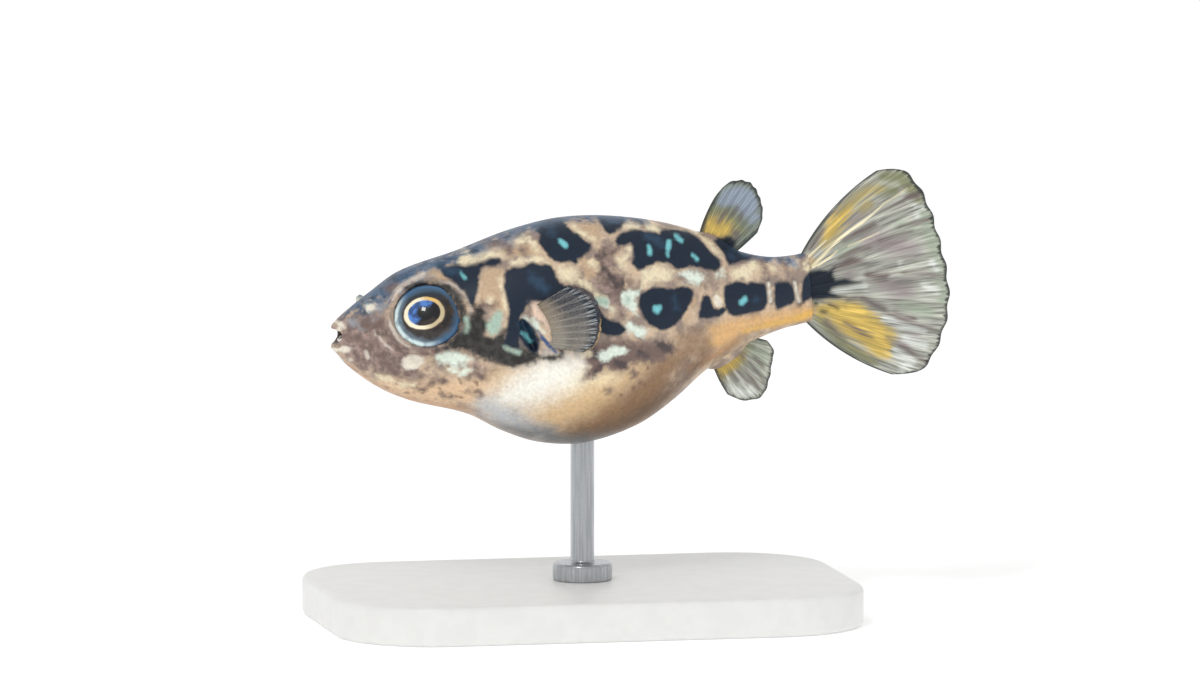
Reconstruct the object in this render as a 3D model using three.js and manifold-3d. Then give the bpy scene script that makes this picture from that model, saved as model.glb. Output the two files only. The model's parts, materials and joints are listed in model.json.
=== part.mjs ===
// A dwarf freshwater pufferfish, Carinotetraodon travancoricus, as a still, life-size display model.
// The fish swims nose down over a plain stand: a flat base and one short rod into the belly.
//
// Millimetres, +Z up. The origin is the middle of the base's underside. The fish faces -X, and its
// left flank faces -Y. The fish itself is built level, in a frame of its own: s runs from the front
// of the lips towards the tail, y to its right, h upwards from the line that joins the mouth to the
// middle of the tail fin's root. The group at the end tips it nose down and lifts it onto the rod.
import * as THREE from "three";
import { mergeVertices } from "three/addons/utils/BufferGeometryUtils.js";
import Module from "manifold-3d";

const wasm = await Module();
wasm.setup();

const degrees = THREE.MathUtils.degToRad;

// ---------- Driving dimensions ----------

const BODY_LENGTH = 24.6; // lips to the root of the tail fin
const GAP = 0.1; // clearance between neighbouring solids, and the width of the cuts in the body
const FIN_THICKNESS = 0.5;
const RAY_RELIEF = 0.07; // how far a fin ray stands out of the web on each side

const NOSE_DOWN = degrees(4);
const BELLY_HEIGHT = 7; // lowest point of the belly above the top of the base
const BASE = { length: 27, width: 18, thickness: 2, corner: 5, bevel: 0.3 };
const ROD = { radius: 0.6, s: 12.3, depth: 2 }; // depth is how far it goes into the belly
const COLLAR = { radius: 1.5, height: 0.9 };

const EYE = {
  centre: new THREE.Vector3(4.5, 1.95, 0.65),
  look: new THREE.Vector3(-0.2, 0.88, 0.42).normalize(), // line of sight of the right eye
  radius: 1.92, // across the line of sight
  depth: 1.35, // along the line of sight
};
// The ring of skin round the eye, a little wider than it is high, and the mound that carries it.
const ORBIT = { radius: 1.86, thickness: 0.22, wide: 1.08, out: 0.6, mound: 2, moundDepth: 1 };
const MOUTH = {
  halfWidth: 0.78, halfHeight: 0.55, // to the middle of the lips
  lip: 0.22, // half the lips' thickness
  sweep: 0.5, // how far the corners lie behind the middle of the lips
  overshot: 0.13, // how far the lower lip stands in front of the middle of the mouth
  front: 0.12, // from the frontmost point of the lips to their middle
  level: 0,
  depth: 1.5, // of the hollow behind the lips
};
const TOOTH = { outer: 0.53, inner: 0.37, from: degrees(4), to: degrees(70), front: 0.16, length: 0.5 };
const NOSTRIL = { place: new THREE.Vector3(1.72, 1.15, 1.42), radius: 0.18, length: 0.4 };
const GILL = { s: 9.12, h: -0.3, halfWidth: 0.22, depth: 0.5, halfLength: 1.05 };
const PECTORAL = { s: 9.85, h: 0, rootLength: 2.5, rootLean: degrees(20) };
const LOBE = { thickness: 0.42, out: 0.5, inset: 0.05 }; // of flesh at the pectoral fin's root

// Low mounds of skin from which the dorsal and the anal fin grow.
const FIN_MOUND = { length: 1.3, width: 0.55, height: 0.5 };
const FIN_MOUNDS = [
  { s: 19.8, h: 2.75, lean: degrees(32) },
  { s: 20.05, h: -2.8, lean: degrees(-32) },
];

// The cuts that part the body: a point on each, and how far it leans from upright.
const CUTS = {
  head: { s: 8.55, h: 0, lean: degrees(16) },
  tail: { s: 18.45, h: 0, lean: degrees(8) },
  belly: { s: 13.5, h: -3, lean: degrees(84) },
};

// ---------- Outline of the body ----------

// A smooth curve through a few [station, value] pairs, read as a function of the station.
function through(...points) {
  const slopes = points.map((_, i) => {
    const [before, after] = [points[Math.max(i - 1, 0)], points[Math.min(i + 1, points.length - 1)]];
    return (after[1] - before[1]) / (after[0] - before[0]);
  });
  return (station) => {
    const found = points.findIndex(([at]) => at >= station);
    const i = found < 0 ? points.length - 1 : Math.max(found, 1);
    const [[s0, v0], [s1, v1]] = [points[i - 1], points[i]];
    const span = s1 - s0;
    const t = THREE.MathUtils.clamp((station - s0) / span, 0, 1);
    const eased = t * t * (3 - 2 * t);
    return (
      v0 * (1 - eased) + v1 * eased +
      span * t * (1 - t) * (slopes[i - 1] * (1 - t) - slopes[i] * t)
    );
  };
}

const FRONT = -0.15; // where the body's own skin ends, inside the ring of the lips
const back = through(
  [FRONT, 0.55], [0.5, 1.06], [2, 2.03], [3.6, 2.95], [6.5, 3.68], [9.5, 4.52], [12.3, 4.89],
  [15.5, 4.56], [18.6, 3.66], [20.6, 2.5], [22.6, 1.88], [BODY_LENGTH, 1.95],
);
const underside = through(
  [FRONT, -0.6], [0.5, -1.5], [2, -2.76], [3.6, -3.6], [6.4, -4.52], [8.2, -5.58], [10, -6.32],
  [12.3, -6.56], [15, -5.94], [17, -4.84], [18.8, -3.52], [20.8, -2.5], [22.8, -1.86], [BODY_LENGTH, -1.62],
);
const halfWidth = through(
  [FRONT, 0.62], [0.5, 1.2], [2, 1.98], [4, 2.86], [6.5, 3.5], [9.5, 4.05], [12, 4.25],
  [15, 3.85], [18, 2.7], [20.6, 1.72], [22.6, 1.12], [BODY_LENGTH, 0.5],
);
const widest = through(
  [0, -0.1], [4, -0.6], [8, -1.2], [12, -1.9], [15, -1.7], [19, -0.6], [BODY_LENGTH, 0],
);

const ROUNDNESS = { above: 2.15, below: 2.05 }; // exponents of the section's upper and lower half
const [AROUND, STATIONS] = [30, 32];

// One section of the body, as a ring of points. grow pushes it outwards all round. The sections
// near the mouth are bent back at their sides, as the lips are.
function section(s, grow) {
  const [top, bottom, half] = [back(s) + grow, underside(s) - grow, halfWidth(s) + grow];
  const level = widest(s);
  const sweep = MOUTH.sweep * Math.exp(FRONT - s);
  return Array.from({ length: AROUND }, (_, i) => {
    const angle = (2 * Math.PI * i) / AROUND;
    const [across, up] = [Math.cos(angle), Math.sin(angle)];
    const power = 2 / (up > 0 ? ROUNDNESS.above : ROUNDNESS.below);
    const y = half * Math.sign(across) * Math.abs(across) ** power;
    const h = level + (up > 0 ? top - level : bottom - level) * Math.abs(up) ** power;
    return new THREE.Vector3(s + sweep * across ** 2, y, h);
  });
}

// Half the body's width at a height.
function flank(s, h) {
  const level = widest(s);
  const reach = (h > level ? back(s) : underside(s)) - level;
  return halfWidth(s) * Math.sqrt(Math.max(0, 1 - ((h - level) / reach) ** 2));
}

// ---------- Helpers that make solids ----------

function solid(geometry) {
  const bare = geometry.clone();
  bare.deleteAttribute("normal");
  bare.deleteAttribute("uv");
  const merged = mergeVertices(bare, 1e-4);
  const made = new wasm.Manifold(
    new wasm.Mesh({
      numProp: 3,
      vertProperties: merged.attributes.position.array,
      triVerts: new Uint32Array(merged.index.array),
    }),
  );
  if (made.volume() <= 0) throw new Error("a solid is inside out");
  return made;
}

function geometryOf(made) {
  const { vertProperties, triVerts } = made.getMesh();
  const geometry = new THREE.BufferGeometry();
  geometry.setAttribute("position", new THREE.BufferAttribute(new Float32Array(vertProperties), 3));
  geometry.setIndex(new THREE.BufferAttribute(new Uint32Array(triVerts), 1));
  geometry.computeVertexNormals();
  return geometry;
}

const joined = (parts) => parts.reduce((whole, one) => whole.add(one));

// The same solid on the fish's left and on its right: [left, right]. It is given for the right.
function bothSides(geometry) {
  const right = solid(geometry);
  return [right.mirror([0, 1, 0]), right];
}

// Turns a shape that faces +Z so that it faces along a direction, at a place.
function facing(geometry, direction, place) {
  const turn = new THREE.Quaternion().setFromUnitVectors(new THREE.Vector3(0, 0, 1), direction);
  return geometry.applyQuaternion(turn).translate(...place.toArray());
}

// A closed skin over rings of points, with a point in the middle of each end.
function loft(rings) {
  const count = rings[0].length;
  const middle = (ring) => ring.reduce((sum, p) => sum.add(p), new THREE.Vector3()).divideScalar(count);
  const points = [...rings.flat(), middle(rings[0]), middle(rings.at(-1))];
  const [front, rear] = [points.length - 2, points.length - 1];
  const lastRing = (rings.length - 1) * count;
  const index = [];
  for (let i = 0; i < count; i++) {
    const next = (i + 1) % count;
    for (let r = 0; r < lastRing; r += count)
      index.push(r + i, r + next, r + i + count, r + next, r + next + count, r + i + count);
    index.push(front, next, i, rear, lastRing + i, lastRing + next);
  }
  return new THREE.BufferGeometry().setFromPoints(points).setIndex(index);
}

// A thin closed plate about a sheet of points at(u, v), half(u, v) thick to each side of it.
function plate(at, side, half, across, along) {
  const points = [];
  for (const face of [1, -1])
    for (let j = 0; j <= along; j++)
      for (let i = 0; i <= across; i++) {
        const [u, v] = [i / across, j / along];
        points.push(at(u, v).addScaledVector(side, face * half(u, v)));
      }
  const layer = (across + 1) * (along + 1);
  const id = (i, j, face) => face * layer + j * (across + 1) + i;
  const index = [];
  const quad = (a, b, c, d) => index.push(a, b, c, a, c, d);
  for (let j = 0; j < along; j++) {
    for (let i = 0; i < across; i++) {
      quad(id(i, j, 0), id(i + 1, j, 0), id(i + 1, j + 1, 0), id(i, j + 1, 0));
      quad(id(i, j, 1), id(i, j + 1, 1), id(i + 1, j + 1, 1), id(i + 1, j, 1));
    }
    quad(id(0, j, 0), id(0, j + 1, 0), id(0, j + 1, 1), id(0, j, 1));
    quad(id(across, j, 0), id(across, j, 1), id(across, j + 1, 1), id(across, j + 1, 0));
  }
  for (let i = 0; i < across; i++) {
    quad(id(i, 0, 0), id(i, 0, 1), id(i + 1, 0, 1), id(i + 1, 0, 0));
    quad(id(i, along, 0), id(i + 1, along, 0), id(i + 1, along, 1), id(i, along, 1));
  }
  return new THREE.BufferGeometry().setFromPoints(points).setIndex(index);
}

// ---------- The body's own forms ----------

// Sections are closer together towards the lips, where the outline turns fastest.
function bodyLoft(grow) {
  const [start, span] = [FRONT - grow, BODY_LENGTH - FRONT + 2 * grow];
  const rings = Array.from({ length: STATIONS + 1 }, (_, i) => {
    const share = i / STATIONS;
    return section(start + span * (0.65 * share + 0.35 * share ** 2), grow);
  });
  return solid(loft(rings));
}

function eyeball(grow) {
  const ball = new THREE.SphereGeometry(1, 18, 10).rotateX(Math.PI / 2);
  ball.scale(EYE.radius + grow, EYE.radius + grow, EYE.depth + grow);
  return bothSides(facing(ball, EYE.look, EYE.centre));
}

function orbits() {
  const mound = new THREE.SphereGeometry(1, 16, 8).rotateX(Math.PI / 2);
  mound.scale(ORBIT.mound * ORBIT.wide, ORBIT.mound, ORBIT.moundDepth);
  const rim = new THREE.TorusGeometry(ORBIT.radius, ORBIT.thickness, 5, 18).scale(ORBIT.wide, 1, 1);
  const rimPlace = EYE.centre.clone().addScaledVector(EYE.look, ORBIT.out);
  return [facing(mound, EYE.look, EYE.centre), facing(rim, EYE.look, rimPlace)].flatMap(bothSides);
}

// Bends a shape round the mouth: x is to the fish's left, y up and z forwards, from the middle of
// the gape. The shape is flattened, its corners are swept back, and its lower half stands forward.
function roundMouth(geometry) {
  const at = geometry.attributes.position;
  for (let i = 0; i < at.count; i++) {
    const [left, up, forward] = [at.getX(i), at.getY(i), at.getZ(i)];
    const upward = up / Math.hypot(left, up);
    const s = MOUTH.front + MOUTH.sweep * (left / MOUTH.halfWidth) ** 2 + MOUTH.overshot * upward - forward;
    at.setXYZ(i, s, -left, MOUTH.level + up - (MOUTH.halfWidth - MOUTH.halfHeight) * upward);
  }
  return solid(geometry);
}

const lips = () => roundMouth(new THREE.TorusGeometry(MOUTH.halfWidth, MOUTH.lip, 6, 20));

function gape() {
  const hollow = new THREE.CapsuleGeometry(1, 2, 4, 16).rotateZ(Math.PI / 2);
  hollow.scale(MOUTH.depth / 2, MOUTH.halfWidth - MOUTH.lip + 0.04, MOUTH.halfHeight - MOUTH.lip + 0.04);
  return solid(hollow.translate(0, 0, MOUTH.level));
}

// Each nostril is a short tube, open at its tip, which leans forwards and outwards.
function nostrils() {
  const profile = [[0, -0.5], [1.6, -0.5], [1.05, 0.3], [0.95, 0.9], [0.6, 1], [0.45, 0.6], [0, 0.5]];
  const tube = new THREE.LatheGeometry(
    profile.map(([r, along]) => new THREE.Vector2(r * NOSTRIL.radius, along * NOSTRIL.length)), 8,
  ).rotateX(Math.PI / 2);
  return bothSides(facing(tube, new THREE.Vector3(-0.3, 0.4, 1).normalize(), NOSTRIL.place));
}

// The fleshy lobe that each pectoral fin grows from, and the gill opening in front of it.
function pectoralLobes(grow) {
  const lobe = new THREE.SphereGeometry(1, 12, 10);
  lobe.scale(LOBE.thickness + grow, LOBE.out + grow, PECTORAL.rootLength / 2 + GAP + grow);
  lobe.rotateY(-PECTORAL.rootLean);
  return bothSides(lobe.translate(PECTORAL.s, flank(PECTORAL.s, PECTORAL.h) - LOBE.inset, PECTORAL.h));
}

function gillOpenings() {
  const slit = new THREE.SphereGeometry(1, 10, 10).scale(GILL.halfWidth, GILL.depth, GILL.halfLength);
  slit.rotateY(-PECTORAL.rootLean);
  return bothSides(slit.translate(GILL.s, flank(GILL.s, GILL.h), GILL.h));
}

function finMounds(grow) {
  const { length, width, height } = FIN_MOUND;
  return FIN_MOUNDS.map(({ s, h, lean }) => {
    const mound = new THREE.SphereGeometry(1, 16, 8).scale(length + grow, width + grow, height + grow);
    return solid(mound.rotateY(lean).translate(s, 0, h));
  });
}

function rodHole() {
  const hole = new THREE.CylinderGeometry(ROD.radius + GAP, ROD.radius + GAP, 2 * (ROD.depth + GAP), 16);
  return solid(hole.rotateX(Math.PI / 2).rotateY(NOSE_DOWN).translate(ROD.s, 0, underside(ROD.s)));
}

const body = joined([
  bodyLoft(0), lips(), ...orbits(), ...nostrils(), ...pectoralLobes(0), ...finMounds(0),
]).subtract(joined([gape(), ...gillOpenings(), ...eyeball(GAP), rodHole()]));

// ---------- Cuts that part the body ----------

// A large block whose near face passes through (s, h). It holds all that lies behind that face,
// which is upright at a lean of 0, and level, with the block above it, at a lean of 90 degrees.
function block(s, h, lean) {
  const big = 80;
  const box = new THREE.BoxGeometry(big, big, big).translate(big / 2, 0, 0);
  return solid(box.rotateY(-lean).translate(s, 0, h));
}

// What lies in front of a thin cut, and what lies behind it.
function parted(whole, { s, h, lean }) {
  const beyond = block(s + GAP * Math.cos(lean), h + GAP * Math.sin(lean), lean);
  return [whole.subtract(block(s, h, lean)), whole.intersect(beyond)];
}

const [head, behindHead] = parted(body, CUTS.head);
const [middle, tail] = parted(behindHead, CUTS.tail);
const [belly, trunk] = parted(middle, CUTS.belly);

// ---------- Fins ----------

// A fin is a fan of rays. For the ray at u, from 0 to 1 across the fin, root(u) is where it starts,
// heading(u) its angle there, turn(u) how far it bends on its way, and length(u) how far it reaches.
function fan(fin) {
  return (u, v) => {
    const [s, h] = fin.root(u);
    const reach = fin.length(u) * v * (1 + fin.scallop * Math.cos(2 * Math.PI * fin.rays * u));
    const angle = fin.heading(u) + (fin.turn(u) * v) / 2;
    return new THREE.Vector3(s + reach * Math.cos(angle), 0, h + reach * Math.sin(angle));
  };
}

// Half the thickness of a fin: a web with a low ridge along each ray, which fades to the edge.
const ribbed = (rays) => (u, v) =>
  FIN_THICKNESS / 2 + RAY_RELIEF * (0.5 + 0.5 * Math.cos(2 * Math.PI * rays * u)) * (1 - 0.8 * v);

const between = (a, b, u) => a + (b - a) * u;
const fromMiddle = (u) => 2 * u - 1; // -1 at the first ray, 1 at the last

const TAIL_FIN = {
  rays: 10, scallop: 0.008,
  root: (u) => [BODY_LENGTH - 0.4, between(-1.6, 1.9, u)],
  heading: (u) => degrees(between(-50, 58, u)),
  turn: (u) => degrees(between(28, -31, u)),
  length: through(
    [0, 5.2], [0.07, 6.5], [0.2, 7.15], [0.38, 7.5], [0.6, 7.3], [0.85, 7.1], [0.94, 6.6], [1, 5.6],
  ),
};
const DORSAL_FIN = {
  rays: 8, scallop: 0.008,
  root: (u) => [between(20.7, 18.95, u), between(2.2, 3.15, u)],
  heading: (u) => degrees(between(32, 70, u)),
  turn: (u) => degrees(between(8, -22, u)),
  length: through([0, 1.6], [0.15, 2.45], [0.35, 3.15], [0.6, 3.65], [0.8, 3.5], [0.93, 3.05], [1, 2.4]),
};
const ANAL_FIN = {
  rays: 7, scallop: 0.008,
  root: (u) => [between(19.15, 20.9, u), between(-2.9, -1.95, u)],
  heading: (u) => degrees(between(-78, -14, u)),
  turn: (u) => degrees(between(18, -8, u)),
  length: through([0, 2.1], [0.12, 2.75], [0.32, 3.2], [0.5, 2.85], [0.7, 2.3], [0.88, 1.9], [1, 1.3]),
};
const PECTORAL_FIN = {
  rays: 8, scallop: 0.008,
  spread: degrees(27), // the fin stands off the flank by this angle
  cup: 0.3, // and its edge curves back towards the flank by this much
  root: (u) => {
    const down = (PECTORAL.rootLength / 2 - 0.1) * fromMiddle(1 - u);
    return [0.1 + down * Math.sin(PECTORAL.rootLean), -down * Math.cos(PECTORAL.rootLean)];
  },
  heading: (u) => degrees(between(-12, 28, u)),
  turn: () => 0,
  length: through([0, 1.5], [0.15, 2.3], [0.5, 2.95], [0.8, 2.85], [1, 2]),
};

const ALONG_RAYS = 4; // steps along each ray
const flesh = joined([bodyLoft(GAP), ...finMounds(GAP), ...pectoralLobes(GAP)]);

function medianFin(fin) {
  const sideways = new THREE.Vector3(0, 1, 0);
  return solid(plate(fan(fin), sideways, ribbed(fin.rays), 2 * fin.rays, ALONG_RAYS)).subtract(flesh);
}

function pectoralFins() {
  const { spread, cup, rays } = PECTORAL_FIN;
  const flat = fan(PECTORAL_FIN);
  const outwards = new THREE.Vector3(-Math.sin(spread), Math.cos(spread), 0);
  const root = new THREE.Vector3(PECTORAL.s, flank(PECTORAL.s, PECTORAL.h), PECTORAL.h);
  const at = (u, v) => {
    const { x, z } = flat(u, v);
    return new THREE.Vector3(x * Math.cos(spread), x * Math.sin(spread), z)
      .add(root)
      .addScaledVector(outwards, -cup * v * v);
  };
  const blade = plate(at, outwards, ribbed(rays), 2 * rays, ALONG_RAYS);
  return bothSides(blade).map((fin) => fin.subtract(flesh));
}

// ---------- Teeth ----------

// Each jaw has two plates, which meet in the middle and make a beak just inside the lips. jaw is 1
// for the upper and -1 for the lower one, and side is 1 for the fish's left and -1 for its right.
function toothPlate(jaw, side) {
  const [near, far] = [TOOTH.from, TOOTH.to].map((angle) => jaw * (Math.PI / 2 - side * angle));
  const shape = new THREE.Shape();
  shape.absarc(0, 0, TOOTH.outer, near, far, near > far);
  shape.absarc(0, 0, TOOTH.inner, far, near, near < far);
  const slab = new THREE.ExtrudeGeometry(shape, {
    depth: TOOTH.length, bevelEnabled: false, curveSegments: 5,
  });
  return roundMouth(slab.translate(0, 0, -TOOTH.front - TOOTH.length));
}

// ---------- Stand ----------

function standBase() {
  const { length, width, thickness, corner, bevel } = BASE;
  const outline = new THREE.Shape();
  [[1, 1], [-1, 1], [-1, -1], [1, -1]].forEach(([x, y], quarter) =>
    outline.absarc(
      x * (length / 2 - corner), y * (width / 2 - corner), corner - bevel,
      (quarter * Math.PI) / 2, ((quarter + 1) * Math.PI) / 2, false,
    ),
  );
  return new THREE.ExtrudeGeometry(outline, {
    depth: thickness - 2 * bevel, bevelThickness: bevel, bevelSize: bevel, bevelSegments: 1, curveSegments: 5,
  }).translate(0, 0, bevel);
}

// The rod and the round collar at its foot.
function standRod() {
  const top = BELLY_HEIGHT + ROD.depth;
  const chamfer = 0.15;
  const profile = [
    [0, 0], [COLLAR.radius, 0], [COLLAR.radius, COLLAR.height - chamfer],
    [COLLAR.radius - chamfer, COLLAR.height], [ROD.radius, COLLAR.height],
    [ROD.radius, top - chamfer], [ROD.radius - chamfer, top], [0, top],
  ];
  const rod = new THREE.LatheGeometry(profile.map(([r, z]) => new THREE.Vector2(r, z)), 16);
  return rod.rotateX(Math.PI / 2).translate(0, 0, BASE.thickness);
}

// ---------- The model ----------

const finish = (color, roughness, metalness = 0) =>
  new THREE.MeshStandardMaterial({ color, roughness, metalness });
const FINISHES = {
  back: () => finish(0x6e6a66, 0.45),
  flank: () => finish(0xc4a896, 0.45),
  belly: () => finish(0xf0e2c8, 0.45),
  fin: () => finish(0xb9bd9c, 0.4),
  eye: () => finish(0x16202e, 0.1),
  tooth: () => finish(0xf2eee2, 0.25),
  base: () => finish(0xe8e6e1, 0.5),
  rod: () => finish(0xb8bcc0, 0.3, 1),
};

function piece(name, shape, look) {
  const geometry = shape instanceof THREE.BufferGeometry ? shape : geometryOf(shape);
  const mesh = new THREE.Mesh(geometry, FINISHES[look]());
  mesh.name = name;
  return mesh;
}

const [eyeLeft, eyeRight] = eyeball(0);
const [pectoralLeft, pectoralRight] = pectoralFins();
const fish = new THREE.Group().add(
  piece("head", head, "back"),
  piece("trunk", trunk, "flank"),
  piece("belly", belly, "belly"),
  piece("tail", tail, "flank"),
  piece("eye_left", eyeLeft, "eye"),
  piece("eye_right", eyeRight, "eye"),
  piece("tooth_upper_left", toothPlate(1, 1), "tooth"),
  piece("tooth_upper_right", toothPlate(1, -1), "tooth"),
  piece("tooth_lower_left", toothPlate(-1, 1), "tooth"),
  piece("tooth_lower_right", toothPlate(-1, -1), "tooth"),
  piece("dorsal_fin", medianFin(DORSAL_FIN), "fin"),
  piece("anal_fin", medianFin(ANAL_FIN), "fin"),
  piece("tail_fin", medianFin(TAIL_FIN), "fin"),
  piece("pectoral_fin_left", pectoralLeft, "fin"),
  piece("pectoral_fin_right", pectoralRight, "fin"),
);

// The fish turns nose down about its own frame's origin, and its belly meets the rod over the
// middle of the base.
fish.rotation.y = -NOSE_DOWN;
const rodEnd = new THREE.Vector3(ROD.s, 0, underside(ROD.s)).applyEuler(fish.rotation);
fish.position.set(-rodEnd.x, 0, BASE.thickness + BELLY_HEIGHT - rodEnd.z);

const part = new THREE.Group().add(
  fish,
  piece("stand_base", standBase(), "base"),
  piece("stand_rod", standRod(), "rod"),
);

export default part;
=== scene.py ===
# %% [markdown]
# # A dwarf pufferfish on a museum stand
# The solids of the fish come from the frame, which also fixes the size. Blender dresses them: one soft skin
# over all the flesh, painted markings, glassy eyes, a beak, ribbed fins and a finished stand.
# We load the frame first and keep its box.

# %% Load the frame
import json
import math

import bpy
import numpy as np
from mathutils import Matrix, Vector

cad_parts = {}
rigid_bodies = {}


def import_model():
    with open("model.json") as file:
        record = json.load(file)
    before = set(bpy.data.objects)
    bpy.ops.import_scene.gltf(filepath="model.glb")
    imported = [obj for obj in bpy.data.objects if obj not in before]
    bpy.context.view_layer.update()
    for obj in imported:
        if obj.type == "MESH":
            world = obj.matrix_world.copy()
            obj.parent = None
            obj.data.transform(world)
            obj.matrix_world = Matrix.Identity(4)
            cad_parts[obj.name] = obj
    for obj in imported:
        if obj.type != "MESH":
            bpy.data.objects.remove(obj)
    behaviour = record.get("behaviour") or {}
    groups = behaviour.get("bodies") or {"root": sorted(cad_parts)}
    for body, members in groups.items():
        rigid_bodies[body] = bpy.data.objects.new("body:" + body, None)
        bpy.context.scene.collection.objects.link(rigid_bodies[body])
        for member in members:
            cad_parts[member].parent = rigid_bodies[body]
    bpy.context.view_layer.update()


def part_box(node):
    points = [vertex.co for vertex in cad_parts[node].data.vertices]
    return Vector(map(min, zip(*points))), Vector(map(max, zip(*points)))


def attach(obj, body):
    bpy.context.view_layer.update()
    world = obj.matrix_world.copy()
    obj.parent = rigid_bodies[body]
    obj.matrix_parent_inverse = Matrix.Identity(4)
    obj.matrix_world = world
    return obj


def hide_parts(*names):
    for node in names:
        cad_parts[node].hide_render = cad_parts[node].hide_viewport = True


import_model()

# %% [markdown]
# ## The fish's own frame
# The fish swims a little nose down, which makes it awkward to model. So every piece of it is made level
# and in millimetres: s runs from the lips to the tail, y to the fish's right and h upwards. One matrix
# then tips it, scales it to metres and sets the belly on the rod. The top of the rod comes from the frame.

# %% The fish's frame
MM = 0.001
NOSE_DOWN = math.radians(4)
ROD_DEPTH = 2.0  # how far the rod goes into the belly, mm
ROD_S = 12.3  # the station of the rod
BELLY_LOW = -6.56  # the lowest point of the belly, over the rod

rod_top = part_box("stand_rod")[1].z
tip = Matrix.Rotation(-NOSE_DOWN, 4, "Y")
belly_point = tip @ Vector((ROD_S, 0, BELLY_LOW)) * MM
lift = Vector((0, 0, rod_top - ROD_DEPTH * MM)) - belly_point
FISH = Matrix.Translation(lift) @ tip @ Matrix.Scale(MM, 4)


def place(piece):
    """Takes a piece from the fish's own frame, in mm, to its place in the room, in metres."""
    piece.data.transform(FISH)
    piece.data.update()


print("front of the lips, mm:", [round(1000 * c, 2) for c in FISH @ Vector()])

# %% [markdown]
# ## Camera
# A real fish this small would be shot with a long macro lens from about a metre away, which leaves almost no
# perspective. An orthographic camera would do too, but a very long lens keeps the slight depth that makes
# the near fin look near. It stands 12 degrees towards the head and 7 degrees above the horizon, and its frame
# is about 60 mm wide at the fish. The camera is aimed by the point of the lips, so the fish stays where it is
# in that frame whatever the stand looks like.

# %% Camera
IMAGE = (1200, 675)  # pixels
CAMERA_AZIMUTH = math.radians(-12)
CAMERA_ELEVATION = math.radians(7)
PIXELS_PER_MM = 19.87
LIPS_PIXEL = (335, 336)  # where the front of the lips falls in the frame
MID_S = 15  # the station at which the scale is exact
LENS = 600.0  # mm, on a sensor of 36 mm
SENSOR = 36.0

camera_back = Vector((
    math.sin(CAMERA_AZIMUTH) * math.cos(CAMERA_ELEVATION),
    -math.cos(CAMERA_AZIMUTH) * math.cos(CAMERA_ELEVATION),
    math.sin(CAMERA_ELEVATION),
))
camera_right = Vector((math.cos(CAMERA_AZIMUTH), math.sin(CAMERA_AZIMUTH), 0))
camera_up = camera_back.cross(camera_right)

frame_width = IMAGE[0] / PIXELS_PER_MM * MM
distance = frame_width * LENS / SENSOR
shift_right = (IMAGE[0] / 2 - LIPS_PIXEL[0]) / PIXELS_PER_MM * MM
shift_up = (LIPS_PIXEL[1] - IMAGE[1] / 2) / PIXELS_PER_MM * MM
lips = FISH @ Vector()
middle = FISH @ Vector((MID_S, 0, 0))
aim = lips + camera_right * shift_right + camera_up * shift_up
aim += camera_back * (middle - lips).dot(camera_back)

bpy.ops.object.camera_add(location=aim + camera_back * distance)
camera = bpy.context.object
camera.name = "camera"
camera.rotation_mode = "QUATERNION"
camera.rotation_quaternion = (-camera_back).to_track_quat("-Z", "Y")
camera.data.lens = LENS
camera.data.sensor_width = SENSOR
camera.data.clip_start = 0.01
camera.data.clip_end = 10
bpy.context.scene.camera = camera
print("camera at", round(distance, 3), "m, frame", round(1000 * frame_width, 1), "mm wide")

# %% [markdown]
# ## Floor and light
# A photographer would lay the model on a sheet of pale paper that sweeps up behind it, so no horizon shows.
# Here that sheet is a plane whose far edge is extruded upwards and whose fold is bevelled into a wide curve.
# The paper glows a little, as a light table does, so that it stays white round the model. Three large soft
# lights and a pale sky keep the shadows faint. These lights are left out of the reflections, because a wide
# light would lay a grey veil over the eye; one small lamp gives the eye its sharp glint instead.

# %% Small helpers


def softened(share):
    """Eases a share between 0 and 1 at both ends."""
    return share**2 * (3 - 2 * share)


def select_only(piece):
    """Nothing but this object is selected and active, so that an operator acts on it alone."""
    for other in bpy.context.selected_objects:
        other.select_set(False)
    piece.select_set(True)
    bpy.context.view_layer.objects.active = piece


def new_primitive(operator, name, **settings):
    """Adds a primitive with nothing else selected and names it."""
    if bpy.context.object and bpy.context.object.mode != "OBJECT":
        bpy.ops.object.mode_set(mode="OBJECT")
    for other in bpy.context.selected_objects:
        other.select_set(False)
    operator(**settings)
    piece = bpy.context.object
    piece.name = piece.data.name = name
    return piece


def points_of(piece):
    """The mesh's vertices as an array of rows."""
    flat = np.empty(3 * len(piece.data.vertices), np.float64)
    piece.data.vertices.foreach_get("co", flat)
    return flat.reshape(-1, 3)


def set_points(piece, points):
    """Moves the mesh's vertices to the rows of an array."""
    piece.data.vertices.foreach_set("co", np.asarray(points, np.float32).ravel())
    piece.data.update()


def apply_modifier(piece, kind, **settings):
    """Adds a modifier, sets it and applies it."""
    select_only(piece)
    modifier = piece.modifiers.new(kind.lower(), kind)
    for key, value in settings.items():
        setattr(modifier, key, value)
    bpy.ops.object.modifier_apply(modifier=modifier.name)


def apply_place(piece):
    """Moves the object's own place, turn and scale into its mesh."""
    select_only(piece)
    bpy.ops.object.transform_apply(location=True, rotation=True, scale=True)


def choose(piece, mode, test):
    """Selects in edit mode the faces or edges whose middle passes the test, and leaves edit mode open."""
    select_only(piece)
    bpy.ops.object.mode_set(mode="EDIT")
    bpy.ops.mesh.select_mode(type=mode)
    bpy.ops.mesh.select_all(action="DESELECT")
    bpy.ops.object.mode_set(mode="OBJECT")
    mesh = piece.data
    for item in mesh.polygons if mode == "FACE" else mesh.edges:
        corners = [mesh.vertices[i].co for i in item.vertices]
        item.select = test(corners)
    bpy.ops.object.mode_set(mode="EDIT")


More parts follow.
